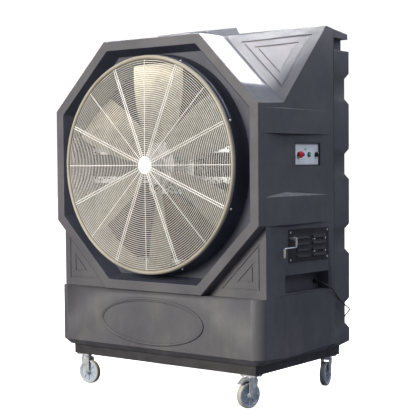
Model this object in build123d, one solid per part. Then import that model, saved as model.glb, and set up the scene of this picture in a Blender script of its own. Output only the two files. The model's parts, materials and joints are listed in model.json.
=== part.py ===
from build123d import *
import math
import os

os.makedirs("parts", exist_ok=True)

# Wheeled evaporative cooler, millimetres. X to the right of someone facing the fan,
# Y to the back, Z up. The origin is the centre of the lifting pad under the base frame.

# ---------------------------------------------------------------- driving dimensions
HALF_WIDTH = 780          # half of the casing's width
FRONT_Y = -525            # front plane of the octagonal frame
SEAM_Y = FRONT_Y + 800    # casing meets the rear frame
BACK_Y = FRONT_Y + 985    # back of the rear frame's ribs
FAN_Z = 1198              # height of the fan axis
FAN_R = 608               # blade tip radius
OCT_HALF_HEIGHT = 755     # octagon, from the fan axis to its top edge
OCT_CUT = 412             # leg of its 45 degree corner cuts
OCT_DEPTH = 267           # depth over which the outside stays octagonal
ROOF_Z = 2026             # highest line of the roof
ROOF_Y = FRONT_Y + 717    # where that line lies
SEAM_Z = 2015             # roof height at the seam
TANK_TOP = 440
BASE_TOP = 65
WALL = 8                  # moulded wall thickness
RECESS_DEPTH = 25         # side recesses, at their bend
BEND_Y = FRONT_Y + 309    # where the side recesses are deepest
RECESS_END_Y = FRONT_Y + 735
WHEEL_R = 75
CASTER_H = 190


# ---------------------------------------------------------------- helpers
def box(x0, x1, y0, y1, z0, z1):
    """Box between two corners."""
    return Pos((x0 + x1) / 2, (y0 + y1) / 2, (z0 + z1) / 2) * Box(x1 - x0, y1 - y0, z1 - z0)


def rod_x(radius, x0, x1, y, z):
    """Cylinder along X."""
    return Pos((x0 + x1) / 2, y, z) * Rot(0, 90, 0) * Cylinder(radius, x1 - x0)


def rod_y(radius, y0, y1, x, z):
    """Cylinder along Y."""
    return Pos(x, (y0 + y1) / 2, z) * Rot(90, 0, 0) * Cylinder(radius, y1 - y0)


def rod_z(radius, z0, z1, x, y):
    """Cylinder along Z."""
    return Pos(x, y, (z0 + z1) / 2) * Cylinder(radius, z1 - z0)


def solids_of(shapes):
    """Every solid of a list of shapes."""
    found = []
    for shape in shapes:
        found.extend(shape.solids())
    return found


def save(node, *shapes):
    """Write one node's solids to its STEP file."""
    solids = solids_of(shapes)
    whole = solids[0] if len(solids) == 1 else Compound(solids)
    export_step(whole, os.path.join("parts", node + ".step"))


def mirrored(x, y, z):
    """The point and its mirror image on the left side."""
    return [(x, y, z), (-x, y, z)]


def octagon(half_width, half_height, cut):
    """Corner points (x, z from the fan axis) of the frame's octagon."""
    flat_x = half_width - cut
    flat_z = half_height - cut
    right = [(half_width, -flat_z), (half_width, flat_z), (flat_x, half_height), (flat_x, -half_height)]
    return right + [(-x, z) for x, z in right]


def octagon_hull(front, back):
    """Solid between two octagons, each given as (y, half width, half height, cut)."""
    points = []
    for y, half_width, half_height, cut in (front, back):
        points += [(x, y, FAN_Z + z) for x, z in octagon(half_width, half_height, cut)]
    return ConvexPolyhedron(points)


def inset_triangle(corners, margin):
    """Triangle with its sides moved inwards by margin, in its own plane."""
    a, b, c = [Vector(*p) for p in corners]
    side_a = (b - c).length
    side_b = (c - a).length
    side_c = (a - b).length
    around = side_a + side_b + side_c
    centre = (a * side_a + b * side_b + c * side_c) * (1 / around)
    inradius = (b - a).cross(c - a).length / around
    return [centre + (p - centre) * (1 - margin / inradius) for p in (a, b, c)]


def triangle_groove(corners, margin, width, depth):
    """Cutter for a triangular groove set in from the edges of a flat triangular face."""
    a, b, c = [Vector(*p) for p in corners]
    normal = (b - a).cross(c - a).normalized()
    rings = []
    for inset in (margin, margin + width):
        points = inset_triangle(corners, inset)
        rings.append(ConvexPolyhedron([p + normal * d for p in points for d in (-depth, depth)]))
    return rings[0] - rings[1]


# ---------------------------------------------------------------- moulded shell shapes
RECESS_START_Y = FRONT_Y + 55
SHOULDER_Z = 1516
SHOULDER_DEPTH = 10
UPPER_RECESS = (1014, 1375)
LOWER_RECESS = (20, 852)
CORNER_PANEL_Y = FRONT_Y + 70
POCKET = dict(y0=FRONT_Y + 295, y1=FRONT_Y + 733, z0=446, z1=555, depth=75)


def side_recess(side, z0, z1, start_y, ledge, inset):
    """Wedge cutter for a side recess that is V-shaped in plan; inset moves it inwards."""
    surface = HALF_WIDTH - inset
    deepest = surface - RECESS_DEPTH
    points = []
    for y in (start_y, RECESS_END_Y):
        for x in (surface, HALF_WIDTH + 20):
            points += [(x, y, z0 - inset), (x, y, z1 + inset)]
    points += [(deepest, BEND_Y, z0 + ledge - inset), (deepest, BEND_Y, z1 + inset)]
    return ConvexPolyhedron([(side * x, y, z) for x, y, z in points])


def shoulder_cut(side, inset):
    """Cutter that sets the side above the upper band back from it, deepest at the roof's fold."""
    surface = HALF_WIDTH - inset
    points = []
    for z, ledge in ((SHOULDER_Z - inset, SHOULDER_DEPTH / 2), (ROOF_Z + 20, 0)):
        for y in (RECESS_START_Y, RECESS_END_Y):
            points += [(surface, y, z), (HALF_WIDTH + 20, y, z)]
        points.append((surface - SHOULDER_DEPTH, FRONT_Y + OCT_DEPTH, z + ledge))
    return ConvexPolyhedron([(side * x, y, z) for x, y, z in points])


def upper_shape(inset):
    """Casing above the fan axis: octagonal at the front, widening to a rectangle at the back."""
    corner_z = FAN_Z + OCT_HALF_HEIGHT - OCT_CUT - inset * 0.4
    flat_x = HALF_WIDTH - OCT_CUT - inset * 0.4
    reach = 1 if inset else 0
    outline = [(HALF_WIDTH - inset, FAN_Z - reach), (HALF_WIDTH - inset, corner_z)]
    outline.append((flat_x, FAN_Z + OCT_HALF_HEIGHT - inset))
    front_y = FRONT_Y + 30 - reach
    turn_y = FRONT_Y + OCT_DEPTH + inset * 0.3
    front, turn = [[p for x, z in outline for p in mirrored(x, y, z)] for y in (front_y, turn_y)]
    rear = mirrored(HALF_WIDTH - inset, ROOF_Y, ROOF_Z - inset)
    for z in (FAN_Z - reach, SEAM_Z - inset):
        rear += mirrored(HALF_WIDTH - inset, SEAM_Y + reach, z)
    return ConvexPolyhedron(front + turn) + ConvexPolyhedron(turn + rear)


def casing_block(inset):
    """Whole casing outline, or its cavity when inset is the wall thickness."""
    reach = 1 if inset else 0
    half = HALF_WIDTH - inset
    lower = box(-half, half, CORNER_PANEL_Y + inset, SEAM_Y + reach, TANK_TOP - reach, FAN_Z + reach)
    front = octagon_hull(
        (FRONT_Y + 30 - reach, half, OCT_HALF_HEIGHT - inset, OCT_CUT - inset * 0.4),
        (CORNER_PANEL_Y + 10, half, OCT_HALF_HEIGHT - inset, OCT_CUT - inset * 0.4),
    )
    return upper_shape(inset) + lower + front


def pocket_box(side, grow):
    """Hand pocket above the tank, as a cutter."""
    x0 = side * (HALF_WIDTH - POCKET["depth"] - grow)
    x1 = side * (HALF_WIDTH + 20)
    return box(
        min(x0, x1), max(x0, x1),
        POCKET["y0"] - grow, POCKET["y1"] + grow,
        POCKET["z0"] - grow * 2, POCKET["z1"] + grow,
    )


# The flat rear half of a side recess carries the plates; its local x points outwards.
FACE_TILT = math.degrees(math.atan2(RECESS_DEPTH, RECESS_END_Y - BEND_Y))
FACE_Y = (BEND_Y + RECESS_END_Y) / 2
SIDE_FACE = Pos(HALF_WIDTH - RECESS_DEPTH / 2, FACE_Y, 0) * Rot(0, 0, -FACE_TILT)

CONTROL = dict(y0=-120, y1=130, z0=1192, z1=1322, depth=80, sink=12)
PLATE = dict(y0=-190, y1=212, z0=625, z1=820)
CRANK_Y = FRONT_Y + 352
CRANK_Z = 768

# Triangular faces that carry nested grooves
ROOF_FACET = [
    (HALF_WIDTH, FRONT_Y + OCT_DEPTH, FAN_Z + OCT_HALF_HEIGHT - OCT_CUT),
    (HALF_WIDTH - OCT_CUT, FRONT_Y + OCT_DEPTH, FAN_Z + OCT_HALF_HEIGHT),
    (HALF_WIDTH, ROOF_Y, ROOF_Z),
]
OCT_BOTTOM = FAN_Z - OCT_HALF_HEIGHT
CORNER_PANEL = [
    (HALF_WIDTH, CORNER_PANEL_Y, OCT_BOTTOM),
    (HALF_WIDTH - OCT_CUT, CORNER_PANEL_Y, OCT_BOTTOM),
    (HALF_WIDTH, CORNER_PANEL_Y, OCT_BOTTOM + OCT_CUT),
]
GROOVED_FACES = [(ROOF_FACET, (52, 100), 14), (CORNER_PANEL, (42, 88), 9)]
GROOVE_DEPTH = 5


def face_opening(area, front_margin, rear_margin, edge):
    """Cutter through the flat side face, smaller than the given area by the margins."""
    y0, y1 = area["y0"] + front_margin, area["y1"] - rear_margin
    return SIDE_FACE * box(-30, 20, y0, y1, area["z0"] + edge, area["z1"] - edge)


def main_casing():
    """Hollow casing with its side recesses, pockets, grooves and openings."""
    shell = casing_block(0)
    cavity = casing_block(WALL)
    for side in (1, -1):
        for (z0, z1), start, ledge in (
            (UPPER_RECESS, RECESS_START_Y, RECESS_DEPTH),
            (LOWER_RECESS, CORNER_PANEL_Y + 5, RECESS_DEPTH),
        ):
            shell -= side_recess(side, z0, z1, start, ledge, 0)
            cavity -= side_recess(side, z0, z1, start, ledge, WALL)
        shell -= pocket_box(side, 0)
        cavity -= pocket_box(side, WALL)
        shell -= shoulder_cut(side, 0)
        cavity -= shoulder_cut(side, WALL)
    shell -= cavity
    for face, margins, width in GROOVED_FACES:
        for margin in margins:
            groove = triangle_groove(face, margin, width, GROOVE_DEPTH)
            shell -= groove
            shell -= groove.mirror(Plane.YZ)
    shell -= face_opening(CONTROL, -2, -2, -2)
    shell -= face_opening(PLATE, 75, 25, 20)
    shell -= rod_x(9, 700, 800, CRANK_Y, CRANK_Z)
    shell -= rod_x(11, 680, 720, GLAND_Y, GLAND_Z)
    return shell


# ---------------------------------------------------------------- octagonal front frame
BULKHEAD_Y = FRONT_Y + 90
SHEET = 6


def front_shroud():
    """Octagonal frame whose recess narrows to the bulkhead round the fan mouth."""
    skirt = octagon_hull(
        (FRONT_Y, HALF_WIDTH, OCT_HALF_HEIGHT, OCT_CUT),
        (FRONT_Y + 30, HALF_WIDTH, OCT_HALF_HEIGHT, OCT_CUT),
    )
    inset = WALL
    skirt -= octagon_hull(
        (FRONT_Y + SHEET, HALF_WIDTH - inset, OCT_HALF_HEIGHT - inset, OCT_CUT - inset * 0.4),
        (FRONT_Y + 31, HALF_WIDTH - inset, OCT_HALF_HEIGHT - inset, OCT_CUT - inset * 0.4),
    )
    funnel = octagon_hull((FRONT_Y, 728, 704, 381), (BULKHEAD_Y + SHEET, 680, 672, 358))
    recess = octagon_hull((FRONT_Y, 720, 696, 377), (BULKHEAD_Y, 672, 664, 354))
    hole = rod_y(640, FRONT_Y - 10, BULKHEAD_Y + 20, 0, FAN_Z)
    return skirt + funnel - recess - hole


# ---------------------------------------------------------------- rear frame
RIB_STEP = 20
GROOVE_CENTRES = [270.5, 733.5, 1196.5, 1659.5]
GROOVE_HALF = 62
RIB_SLOPE = 32
TOP_RIB_Z = 1890
NECK_Z = 1900
CAP_Z = 1962
NECK_STEP = 36
FLANGE_T = 6
PAD_HALF = 636
PAD_Z0 = 476
PAD_Z1 = 1868


def slab(levels, inset):
    """Hull of horizontal rectangles (z, step in from the outside)."""
    front = SEAM_Y - (1 if inset else 0)
    points = []
    for z, step in levels:
        half = HALF_WIDTH - step - inset
        back = BACK_Y - step - inset
        points += mirrored(half, front, z) + mirrored(half, back, z)
    return ConvexPolyhedron(points)


def ribbed_shape(inset):
    """Rear frame outline: ribs between grooves that run round the sides and back."""
    low = BASE_TOP + inset
    shape = slab([(150, RIB_STEP), (TOP_RIB_Z - inset, RIB_STEP)], inset)
    edges = [low] + [z for c in GROOVE_CENTRES for z in (c - GROOVE_HALF, c + GROOVE_HALF)] + [NECK_Z]
    for bottom, top in zip(edges[::2], edges[1::2]):
        if bottom == low:
            levels = [(low, 45), (94, 0), (top - RIB_SLOPE, 0), (top, RIB_STEP)]
        elif top == NECK_Z:
            levels = [(bottom, RIB_STEP), (bottom + RIB_SLOPE, 0), (TOP_RIB_Z - inset, 0)]
        else:
            levels = [(bottom, RIB_STEP), (bottom + RIB_SLOPE, 0), (top - RIB_SLOPE, 0), (top, RIB_STEP)]
        shape += slab(levels, inset)
    return shape + slab([(TOP_RIB_Z - 20, NECK_STEP), (CAP_Z, NECK_STEP)], inset)


def rear_frame():
    """Ribbed hollow frame with a window for the pads and a flange at the casing seam."""
    cap = ConvexPolyhedron(
        mirrored(HALF_WIDTH, SEAM_Y, CAP_Z)
        + mirrored(HALF_WIDTH, SEAM_Y, SEAM_Z)
        + mirrored(HALF_WIDTH, BACK_Y - 15, CAP_Z)
        + mirrored(HALF_WIDTH, BACK_Y - 15, CAP_Z + 32)
    )
    shell = ribbed_shape(0) + cap - ribbed_shape(WALL)
    flange = box(-HALF_WIDTH, HALF_WIDTH, SEAM_Y, SEAM_Y + FLANGE_T, 110, CAP_Z)
    flange -= box(-690, 690, SEAM_Y - 1, SEAM_Y + FLANGE_T + 1, 130, CAP_Z - 10)
    window = box(-610, 610, BACK_Y - 60, BACK_Y + 10, PAD_Z0 + 6, PAD_Z1 - 8)
    return shell + flange - window


# ---------------------------------------------------------------- tank and base
TANK_CORNER_R = 70
TANK_FRONT_Y = FRONT_Y + 10
BEVEL_Z = 100
BEVEL_ANGLE = 48


def tank_plan(inset):
    """Plan of the tank, its two front corners rounded."""
    width = 2 * (HALF_WIDTH - inset)
    depth = SEAM_Y - TANK_FRONT_Y - 2 * inset
    plan = Pos(0, (SEAM_Y + TANK_FRONT_Y) / 2) * Rectangle(width, depth)
    corners = plan.vertices().sort_by(Axis.Y)[:2]
    return fillet(corners, TANK_CORNER_R - inset)


def tank_block(inset, top):
    """Tank outline with its bevelled foot, or its cavity when inset is the wall thickness."""
    body = Pos(0, 0, BEVEL_Z) * extrude(tank_plan(inset), amount=top - BEVEL_Z)
    drop = BEVEL_Z - BASE_TOP - inset
    return body + Pos(0, 0, BEVEL_Z) * extrude(tank_plan(inset), amount=-drop, taper=BEVEL_ANGLE)


def water_tank():
    """Tank open under the casing, with a raised oval rim on its front."""
    shell = tank_block(0, TANK_TOP)
    cavity = tank_block(WALL, TANK_TOP - WALL)
    cavity += box(-760, 760, FRONT_Y + 90, SEAM_Y - WALL, TANK_TOP - 20, TANK_TOP + 1)
    for side in (1, -1):
        shell -= side_recess(side, *LOWER_RECESS, CORNER_PANEL_Y + 5, RECESS_DEPTH, 0)
        cavity -= side_recess(side, *LOWER_RECESS, CORNER_PANEL_Y + 5, RECESS_DEPTH, WALL)
    shell -= cavity
    rim = Ellipse(400, 142) - Ellipse(388, 130)
    rim = extrude(Plane.XZ.offset(-TANK_FRONT_Y) * Pos(-20, 262) * rim, amount=4, both=True)
    shell += rim
    shell -= rod_x(INLET_R, -800, -760, INLET_Y, INLET_Z)
    shell -= rod_x(DRAIN_R, -800, -760, INLET_Y, DRAIN_Z)
    return shell


PAD_T = 3                 # lifting pad; the tubes' underside lies this far above it
BASE_HALF_X = 706
BASE_HALF_Y = 458
BASE_TUBE = 92
TUBE_WALL = 5


def base_frame():
    """Welded frame of hollow tube with three cross tubes and a lifting pad under the middle."""
    inner_x = BASE_HALF_X - BASE_TUBE
    inner_y = BASE_HALF_Y - BASE_TUBE
    wall = TUBE_WALL
    frame = box(-BASE_HALF_X, BASE_HALF_X, -BASE_HALF_Y, BASE_HALF_Y, PAD_T, BASE_TOP)
    frame -= box(-inner_x, inner_x, -inner_y, inner_y, -1, BASE_TOP + 1)
    hollow = box(
        -BASE_HALF_X + wall, BASE_HALF_X - wall,
        -BASE_HALF_Y + wall, BASE_HALF_Y - wall,
        PAD_T + wall, BASE_TOP - wall,
    )
    hollow -= box(-inner_x - wall, inner_x + wall, -inner_y - wall, inner_y + wall, 0, BASE_TOP)
    frame -= hollow
    for x in (-350, 0, 350):
        frame += box(x - 30, x + 30, -inner_y - 1, inner_y + 1, PAD_T, BASE_TOP)
        frame -= box(x - 30 + wall, x + 30 - wall, -inner_y, inner_y, PAD_T + wall, BASE_TOP - wall)
    frame += box(-100, 100, -75, 75, 0, PAD_T)
    for x, y in CASTER_SPOTS:
        for dx in (-PLATE_HOLE_X / 2, PLATE_HOLE_X / 2):
            for dy in (-PLATE_HOLE_Y / 2, PLATE_HOLE_Y / 2):
                frame -= rod_z(PLATE_HOLE_R, -1, 25, x + dx, y + dy)
    return frame


def roof_cover():
    """Low access cover screwed to the roof above the front half."""
    y0, y1 = FRONT_Y + 285, FRONT_Y + 640

    def roof_height(y):
        slope = (ROOF_Z - FAN_Z - OCT_HALF_HEIGHT) / (ROOF_Y - FRONT_Y - OCT_DEPTH)
        return FAN_Z + OCT_HALF_HEIGHT + slope * (y - FRONT_Y - OCT_DEPTH)

    points = []
    for y, rise in ((y0, 0), (y1, 0), (y0 + 14, 42), (y1 - 14, 42)):
        half = 200 if rise == 0 else 186
        points += mirrored(half, y, roof_height(y) + rise)
    return ConvexPolyhedron(points)


# ---------------------------------------------------------------- venturi ring and guard
def venturi_ring():
    """Turned fan mouth: flared outer bell, rolled lip, straight throat round the blades."""
    y = FRONT_Y
    bell = ThreePointArc((661, y + 90), (653, y + 64), (650, y + 30))
    outer = Line((650, y + 30), (648, y - 38))
    lip = ThreePointArc((648, y - 38), (636, y - 55), (624, y - 38))
    mouth = Line((624, y - 38), (616, y + 10))
    throat = Line((616, y + 10), (616, y + 150))
    edge = Line((616, y + 150), (619, y + 150))
    back = Polyline((619, y + 150), (619, y + 11), (627, y - 36), (636, y - 46), (645, y - 34))
    inside = Polyline((645, y - 34), (647, y + 30), (650, y + 64), (657, y + 90), (661, y + 90))
    profile = make_face([bell, outer, lip, mouth, throat, edge, back, inside])
    return Pos(0, 0, FAN_Z) * revolve(profile, Axis.Y)


GUARD_Y = FRONT_Y - 44
WIRE_R = 1.5
SPOKE_R = 2
RING_PITCH = 12.5
RING_COUNT = 45
FIRST_RING_R = 53.5
SPOKE_Y = GUARD_Y - WIRE_R - SPOKE_R - 0.02
DISC_BACK_Y = SPOKE_Y - SPOKE_R - 0.02
SPOKE_END_R = 622


def wire_ring(radius, y):
    """Closed ring of square wire round the fan axis."""
    outer = rod_y(radius + WIRE_R, y - WIRE_R, y + WIRE_R, 0, FAN_Z)
    return outer - rod_y(radius - WIRE_R, y - WIRE_R, y + WIRE_R, 0, FAN_Z)


def guard_rings():
    """Concentric rings of the guard."""
    return [wire_ring(FIRST_RING_R + i * RING_PITCH, GUARD_Y) for i in range(RING_COUNT + 1)]


def guard_spokes():
    """Eight single wires at 45 degrees and eight pairs between them."""
    spokes = []
    for k in range(8):
        for angle, offsets in ((45 * k, (0,)), (45 * k + 22.5, (-7, 7))):
            for offset in offsets:
                inner = 30 if offset else 46
                end = math.sqrt(SPOKE_END_R ** 2 - offset ** 2)
                wire = rod_z(SPOKE_R, inner, end, offset, SPOKE_Y)
                spokes.append(Pos(0, 0, FAN_Z) * Rot(0, angle, 0) * wire)
    return spokes


def guard_disc():
    """White disc over the guard's middle."""
    disc = rod_y(50, DISC_BACK_Y - 6, DISC_BACK_Y, 0, FAN_Z)
    return fillet(disc.edges().sort_by(Axis.Y)[0], 4)


RING_OUTSIDE_R = 649.5


def guard_screws():
    """Eight radial screws that hold the guard to the outside of the fan mouth."""
    screw_y = FRONT_Y - 16
    screw = rod_z(2.5, RING_OUTSIDE_R, 660, 0, screw_y)
    screw += rod_z(8, RING_OUTSIDE_R, 656, 0, screw_y)
    screw += rod_z(6, 656, 661, 0, screw_y)
    screw -= rod_y(RING_OUTSIDE_R, screw_y - 20, screw_y + 20, 0, 0)
    return [Pos(0, 0, FAN_Z) * Rot(0, 45 * k + 22.5, 0) * screw for k in range(8)]


# ---------------------------------------------------------------- fan
BLADE_MID_Y = FRONT_Y + 80
BLADE_T = 2.5
SHAFT_R = 15
RUNNING = 0.05            # radial running clearance


def fan_blade():
    """Twisted sheet blade, root at the hub and trimmed to the tip radius."""
    sections = []
    for radius, chord, pitch in ((135, 150, 42), (270, 235, 36), (430, 290, 29), (640, 300, 23)):
        angle = math.radians(pitch)
        plane = Plane(
            origin=(0, BLADE_MID_Y, radius),
            x_dir=(math.cos(angle), math.sin(angle), 0),
            z_dir=(0, 0, 1),
        )
        sections.append(plane * Rectangle(chord, BLADE_T))
    blade = loft(sections)
    return blade & rod_y(FAN_R, FRONT_Y - 30, FRONT_Y + 200, 0, 0)


def fan_blades():
    """Six blades round the hub."""
    blade = fan_blade()
    return [Pos(0, 0, FAN_Z) * Rot(0, 60 * k, 0) * blade for k in range(6)]


def fan_hub(blades):
    """Cast boss and plate with six tilted arms, slotted for the blade roots."""
    hub = rod_y(44, FRONT_Y + 48, FRONT_Y + 140, 0, 0) + rod_y(118, FRONT_Y + 77, FRONT_Y + 84, 0, 0)
    arm = Pos(0, BLADE_MID_Y, 165) * Rot(0, 0, 40) * Pos(0, BLADE_T / 2 + 3, 0) * Box(56, 6, 210)
    for k in range(6):
        hub += Rot(0, 60 * k, 0) * arm
    hub -= rod_y(SHAFT_R, FRONT_Y, FRONT_Y + 200, 0, 0)
    hub = Pos(0, 0, FAN_Z) * hub
    for blade in blades:
        hub -= blade
    return hub


PULLEY_Y0 = FRONT_Y + 232
PULLEY_Y1 = FRONT_Y + 252
BELT_Y = (PULLEY_Y0 + PULLEY_Y1) / 2
BELT_HALF = 6
BELT_T = 10
FAN_GROOVE_R = 138
MOTOR_GROOVE_R = 34
MOTOR_X = 590
MOTOR_Z = 722
MOTOR_SHAFT_R = 12


def pulley(groove_r, bore_r, x, z):
    """Grooved pulley; the large one has five lightening holes."""
    wheel = rod_y(groove_r + 12, PULLEY_Y0, PULLEY_Y1, x, z)
    wheel -= rod_y(groove_r + 20, BELT_Y - BELT_HALF - 1, BELT_Y + BELT_HALF + 1, x, z) - rod_y(
        groove_r, PULLEY_Y0, PULLEY_Y1, x, z
    )
    if groove_r > 100:
        for k in range(5):
            hole = Rot(0, 72 * k, 0) * rod_y(28, PULLEY_Y0 - 1, PULLEY_Y1 + 1, 0, 86)
            wheel -= Pos(x, 0, z) * hole
    return wheel - rod_y(bore_r, PULLEY_Y0 - 1, PULLEY_Y1 + 1, x, z)


def belt_loop(extra):
    """Area inside a belt line that runs extra outside both pulley grooves."""
    big = FAN_GROOVE_R + extra
    small = MOTOR_GROOVE_R + extra
    span = math.hypot(MOTOR_X, MOTOR_Z - FAN_Z)
    lean = math.asin((big - small) / span)
    nx, ny = math.sin(lean), math.cos(lean)
    strip = Polygon(
        (big * nx, big * ny), (span + small * nx, small * ny),
        (span + small * nx, -small * ny), (big * nx, -big * ny), align=None,
    )
    loop = strip + Circle(big) + Pos(span, 0) * Circle(small)
    turn = math.degrees(math.atan2(MOTOR_Z - FAN_Z, MOTOR_X))
    plane = Plane(origin=(0, BELT_Y + BELT_HALF, FAN_Z), x_dir=(1, 0, 0), z_dir=(0, -1, 0))
    return extrude(plane * Rot(0, 0, turn) * loop, amount=2 * BELT_HALF, dir=(0, -1, 0))


def drive_belt():
    """Belt round both pulleys, 0.1 mm clear of the grooves."""
    return belt_loop(BELT_T + 0.1) - belt_loop(0.1)


def fan_frame():
    """Two bars across the back of the bulkhead and a cage of two bearing plates."""
    frame = None
    for z in (FAN_Z - 90, FAN_Z + 90):
        bar = box(-668, 668, FRONT_Y + 158, FRONT_Y + 190, z - 20, z + 20)
        for x in (-649, 649):
            bar += box(x - 19, x + 19, BULKHEAD_Y + SHEET, FRONT_Y + 160, z - 20, z + 20)
        frame = bar if frame is None else frame + bar
    frame += box(-175, 175, FRONT_Y + 190, FRONT_Y + 198, FAN_Z - 175, FAN_Z + 175)
    frame += box(-175, 175, FRONT_Y + 290, FRONT_Y + 298, FAN_Z - 175, FAN_Z + 175)
    for x in (-158, 158):
        for z in (-158, 158):
            frame += rod_y(11, FRONT_Y + 195, FRONT_Y + 292, x, FAN_Z + z)
    return frame - rod_y(30, FRONT_Y + 100, FRONT_Y + 310, 0, FAN_Z)


def shaft_bearings():
    """Flanged bearing on each plate of the cage."""
    units = []
    for y in (FRONT_Y + 198, FRONT_Y + 298):
        unit = rod_y(46, y, y + 8, 0, FAN_Z) + rod_y(30, y - 6, y + 22, 0, FAN_Z)
        units.append(unit - rod_y(SHAFT_R + RUNNING, y - 20, y + 40, 0, FAN_Z))
    return units


# ---------------------------------------------------------------- motor and belt tension
BEAM_Z0, BEAM_Z1 = 563, 595
RAIL_Z1 = 612
SCREW_R = 6


def cross_beams():
    """Two beams that rest on the pocket mouldings, each with a slide rail for the motor."""
    beams = []
    for y in (FRONT_Y + 300, FRONT_Y + 440):
        beam = box(-740, 740, y, y + 36, BEAM_Z0, BEAM_Z1)
        beams.append(beam + box(470, 738, y + 6, y + 30, BEAM_Z1, RAIL_Z1))
    return beams


def motor_base():
    """Plate on the rails with a front-to-back tab that holds the tension nut."""
    plate = box(500, 712, FRONT_Y + 298, FRONT_Y + 478, RAIL_Z1, RAIL_Z1 + 10)
    plate += box(700, 712, FRONT_Y + 300, FRONT_Y + 400, RAIL_Z1, CRANK_Z + 26)
    plate += rod_x(15, 690, 712, CRANK_Y, CRANK_Z)
    return plate - rod_x(SCREW_R + RUNNING, 680, 720, CRANK_Y, CRANK_Z)


def motor_body():
    """Finned motor on its foot, with a terminal box."""
    y0, y1 = FRONT_Y + 285, FRONT_Y + 480
    body = rod_y(70, y0, y1, MOTOR_X, MOTOR_Z)
    fins = rod_y(77, y0 + 34, y1 - 34, 0, 0) - rod_y(68, y0 + 20, y1 - 20, 0, 0)
    for k in range(24):
        fins -= Rot(0, 15 * k, 0) * box(-5, 5, y0, y1, 71, 90)
    body += Pos(MOTOR_X, 0, MOTOR_Z) * fins
    body += box(MOTOR_X - 62, MOTOR_X + 62, y0 + 30, y1 - 30, RAIL_Z1 + 10, MOTOR_Z - 60)
    body -= box(MOTOR_X - 40, MOTOR_X + 40, y0, y1, RAIL_Z1 + 9, MOTOR_Z - 72)
    body += box(MOTOR_X - 95, MOTOR_X - 62, y0 + 60, y1 - 60, MOTOR_Z - 30, MOTOR_Z + 40)
    return body - rod_y(MOTOR_SHAFT_R + RUNNING, y0 - 1, y1 - 20, MOTOR_X, MOTOR_Z)


def motor_shaft():
    """Shaft from the pulley into the motor."""
    return rod_y(MOTOR_SHAFT_R, FRONT_Y + 226, FRONT_Y + 455, MOTOR_X, MOTOR_Z)


# Outside the plate the screw ends in a universal joint that carries the hand crank.
KNUCKLE_X = 798


def tension_screw():
    """Screw through the casing wall with a collar and a forked knuckle at its outer end."""
    screw = rod_x(SCREW_R, 662, KNUCKLE_X - 13, CRANK_Y, CRANK_Z)
    screw += rod_x(12, 784, 790, CRANK_Y, CRANK_Z)
    for side in (-1, 1):
        y = CRANK_Y + side * 7
        screw += box(KNUCKLE_X - 13, KNUCKLE_X + 5, y - 2, y + 2, CRANK_Z - 8, CRANK_Z + 8)
    screw += box(KNUCKLE_X - 15, KNUCKLE_X - 11, CRANK_Y - 9, CRANK_Y + 9, CRANK_Z - 8, CRANK_Z + 8)
    screw -= rod_y(3 + RUNNING, CRANK_Y - 20, CRANK_Y + 20, KNUCKLE_X, CRANK_Z)
    return screw


CRANK_ARM = 122
CRANK_DROP = 50


def crank_handle():
    """Z-shaped handle: eye and sleeve, thin arm towards the front, hanging grip."""
    eye = rod_y(5, CRANK_Y - 4.5, CRANK_Y + 4.5, KNUCKLE_X, CRANK_Z)
    pin = rod_y(3, CRANK_Y - 9, CRANK_Y + 9, KNUCKLE_X, CRANK_Z)
    corner_z = CRANK_Z - CRANK_DROP
    grip_y = CRANK_Y - CRANK_ARM
    wire = eye + pin + rod_z(3, corner_z, CRANK_Z, KNUCKLE_X, CRANK_Y)
    wire += rod_y(3, grip_y, CRANK_Y, KNUCKLE_X, corner_z)
    wire += rod_z(3, corner_z - 54, corner_z, KNUCKLE_X, grip_y)
    wire += Pos(KNUCKLE_X, CRANK_Y, corner_z) * Sphere(3) + Pos(KNUCKLE_X, grip_y, corner_z) * Sphere(3)
    sleeve = rod_z(6.5, corner_z + 4, CRANK_Z - 11, KNUCKLE_X, CRANK_Y) - wire
    grip = rod_z(6.5, corner_z - 52, corner_z - 4, KNUCKLE_X, grip_y) - wire
    return [wire, sleeve, grip]


# ---------------------------------------------------------------- side plate and controls
def service_plate():
    """Sheet plate with two columns of four pressed louvres."""
    y0, y1, z0, z1 = PLATE["y0"], PLATE["y1"], PLATE["z0"], PLATE["z1"]
    plate = box(0, 2, y0, y1, z0, z1)
    for left, right in ((-112, 8), (44, 178)):
        for row in range(4):
            z = 663 + 36.5 * row
            outside = ((1, 13), (1, -9), (11, -9))
            hood = ConvexPolyhedron(
                [(x, y, z + dz) for y in (left, right) for x, dz in outside]
            )
            inside = ((-1, 10), (-1, -12), (10, -12))
            hollow = ConvexPolyhedron(
                [(x, y, z + dz) for y in (left + 2, right - 2) for x, dz in inside]
            )
            plate = plate + hood - hollow
    plate = SIDE_FACE * plate - rod_x(9, 700, 800, CRANK_Y, CRANK_Z)
    return plate


def pan_head(radius, height, y, z, base):
    """Screw head with its shank through the wall behind it."""
    return rod_x(radius, base, base + height, y, z) + rod_x(radius * 0.45, base - 7, base + 1, y, z)


PLATE_SCREW_R = 6
PLATE_CORNERS = [
    (y, z) for y in (PLATE["y0"] + 18, PLATE["y1"] - 14) for z in (PLATE["z0"] + 16, PLATE["z1"] - 18)
]


def plate_screws():
    """Pan-head screws at the corners of the service plate."""
    return [SIDE_FACE * pan_head(PLATE_SCREW_R, 3.5, y, z, 2) for y, z in PLATE_CORNERS]


def screw_holes():
    """Cutters for the shanks of the plate screws."""
    return [facet_rod(PLATE_SCREW_R * 0.45, -15, 15, y, z) for y, z in PLATE_CORNERS]


def vent_bolts():
    """Four bolts between and beside the louvres."""
    return [facet_rod(4.5, -2, 18, y, z) for y in (50, 163) for z in (681, 754)]


CONTROL_Z = 1255
CONTROL_FACE = SIDE_FACE * Pos(-CONTROL["sink"], 0, 0)
BUTTONS = dict(stop=(-68, 8), blue=(-33, 7), start=(33, 9), knob=(102, 8))
LAMP = (-6, 1286, 5)


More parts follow.
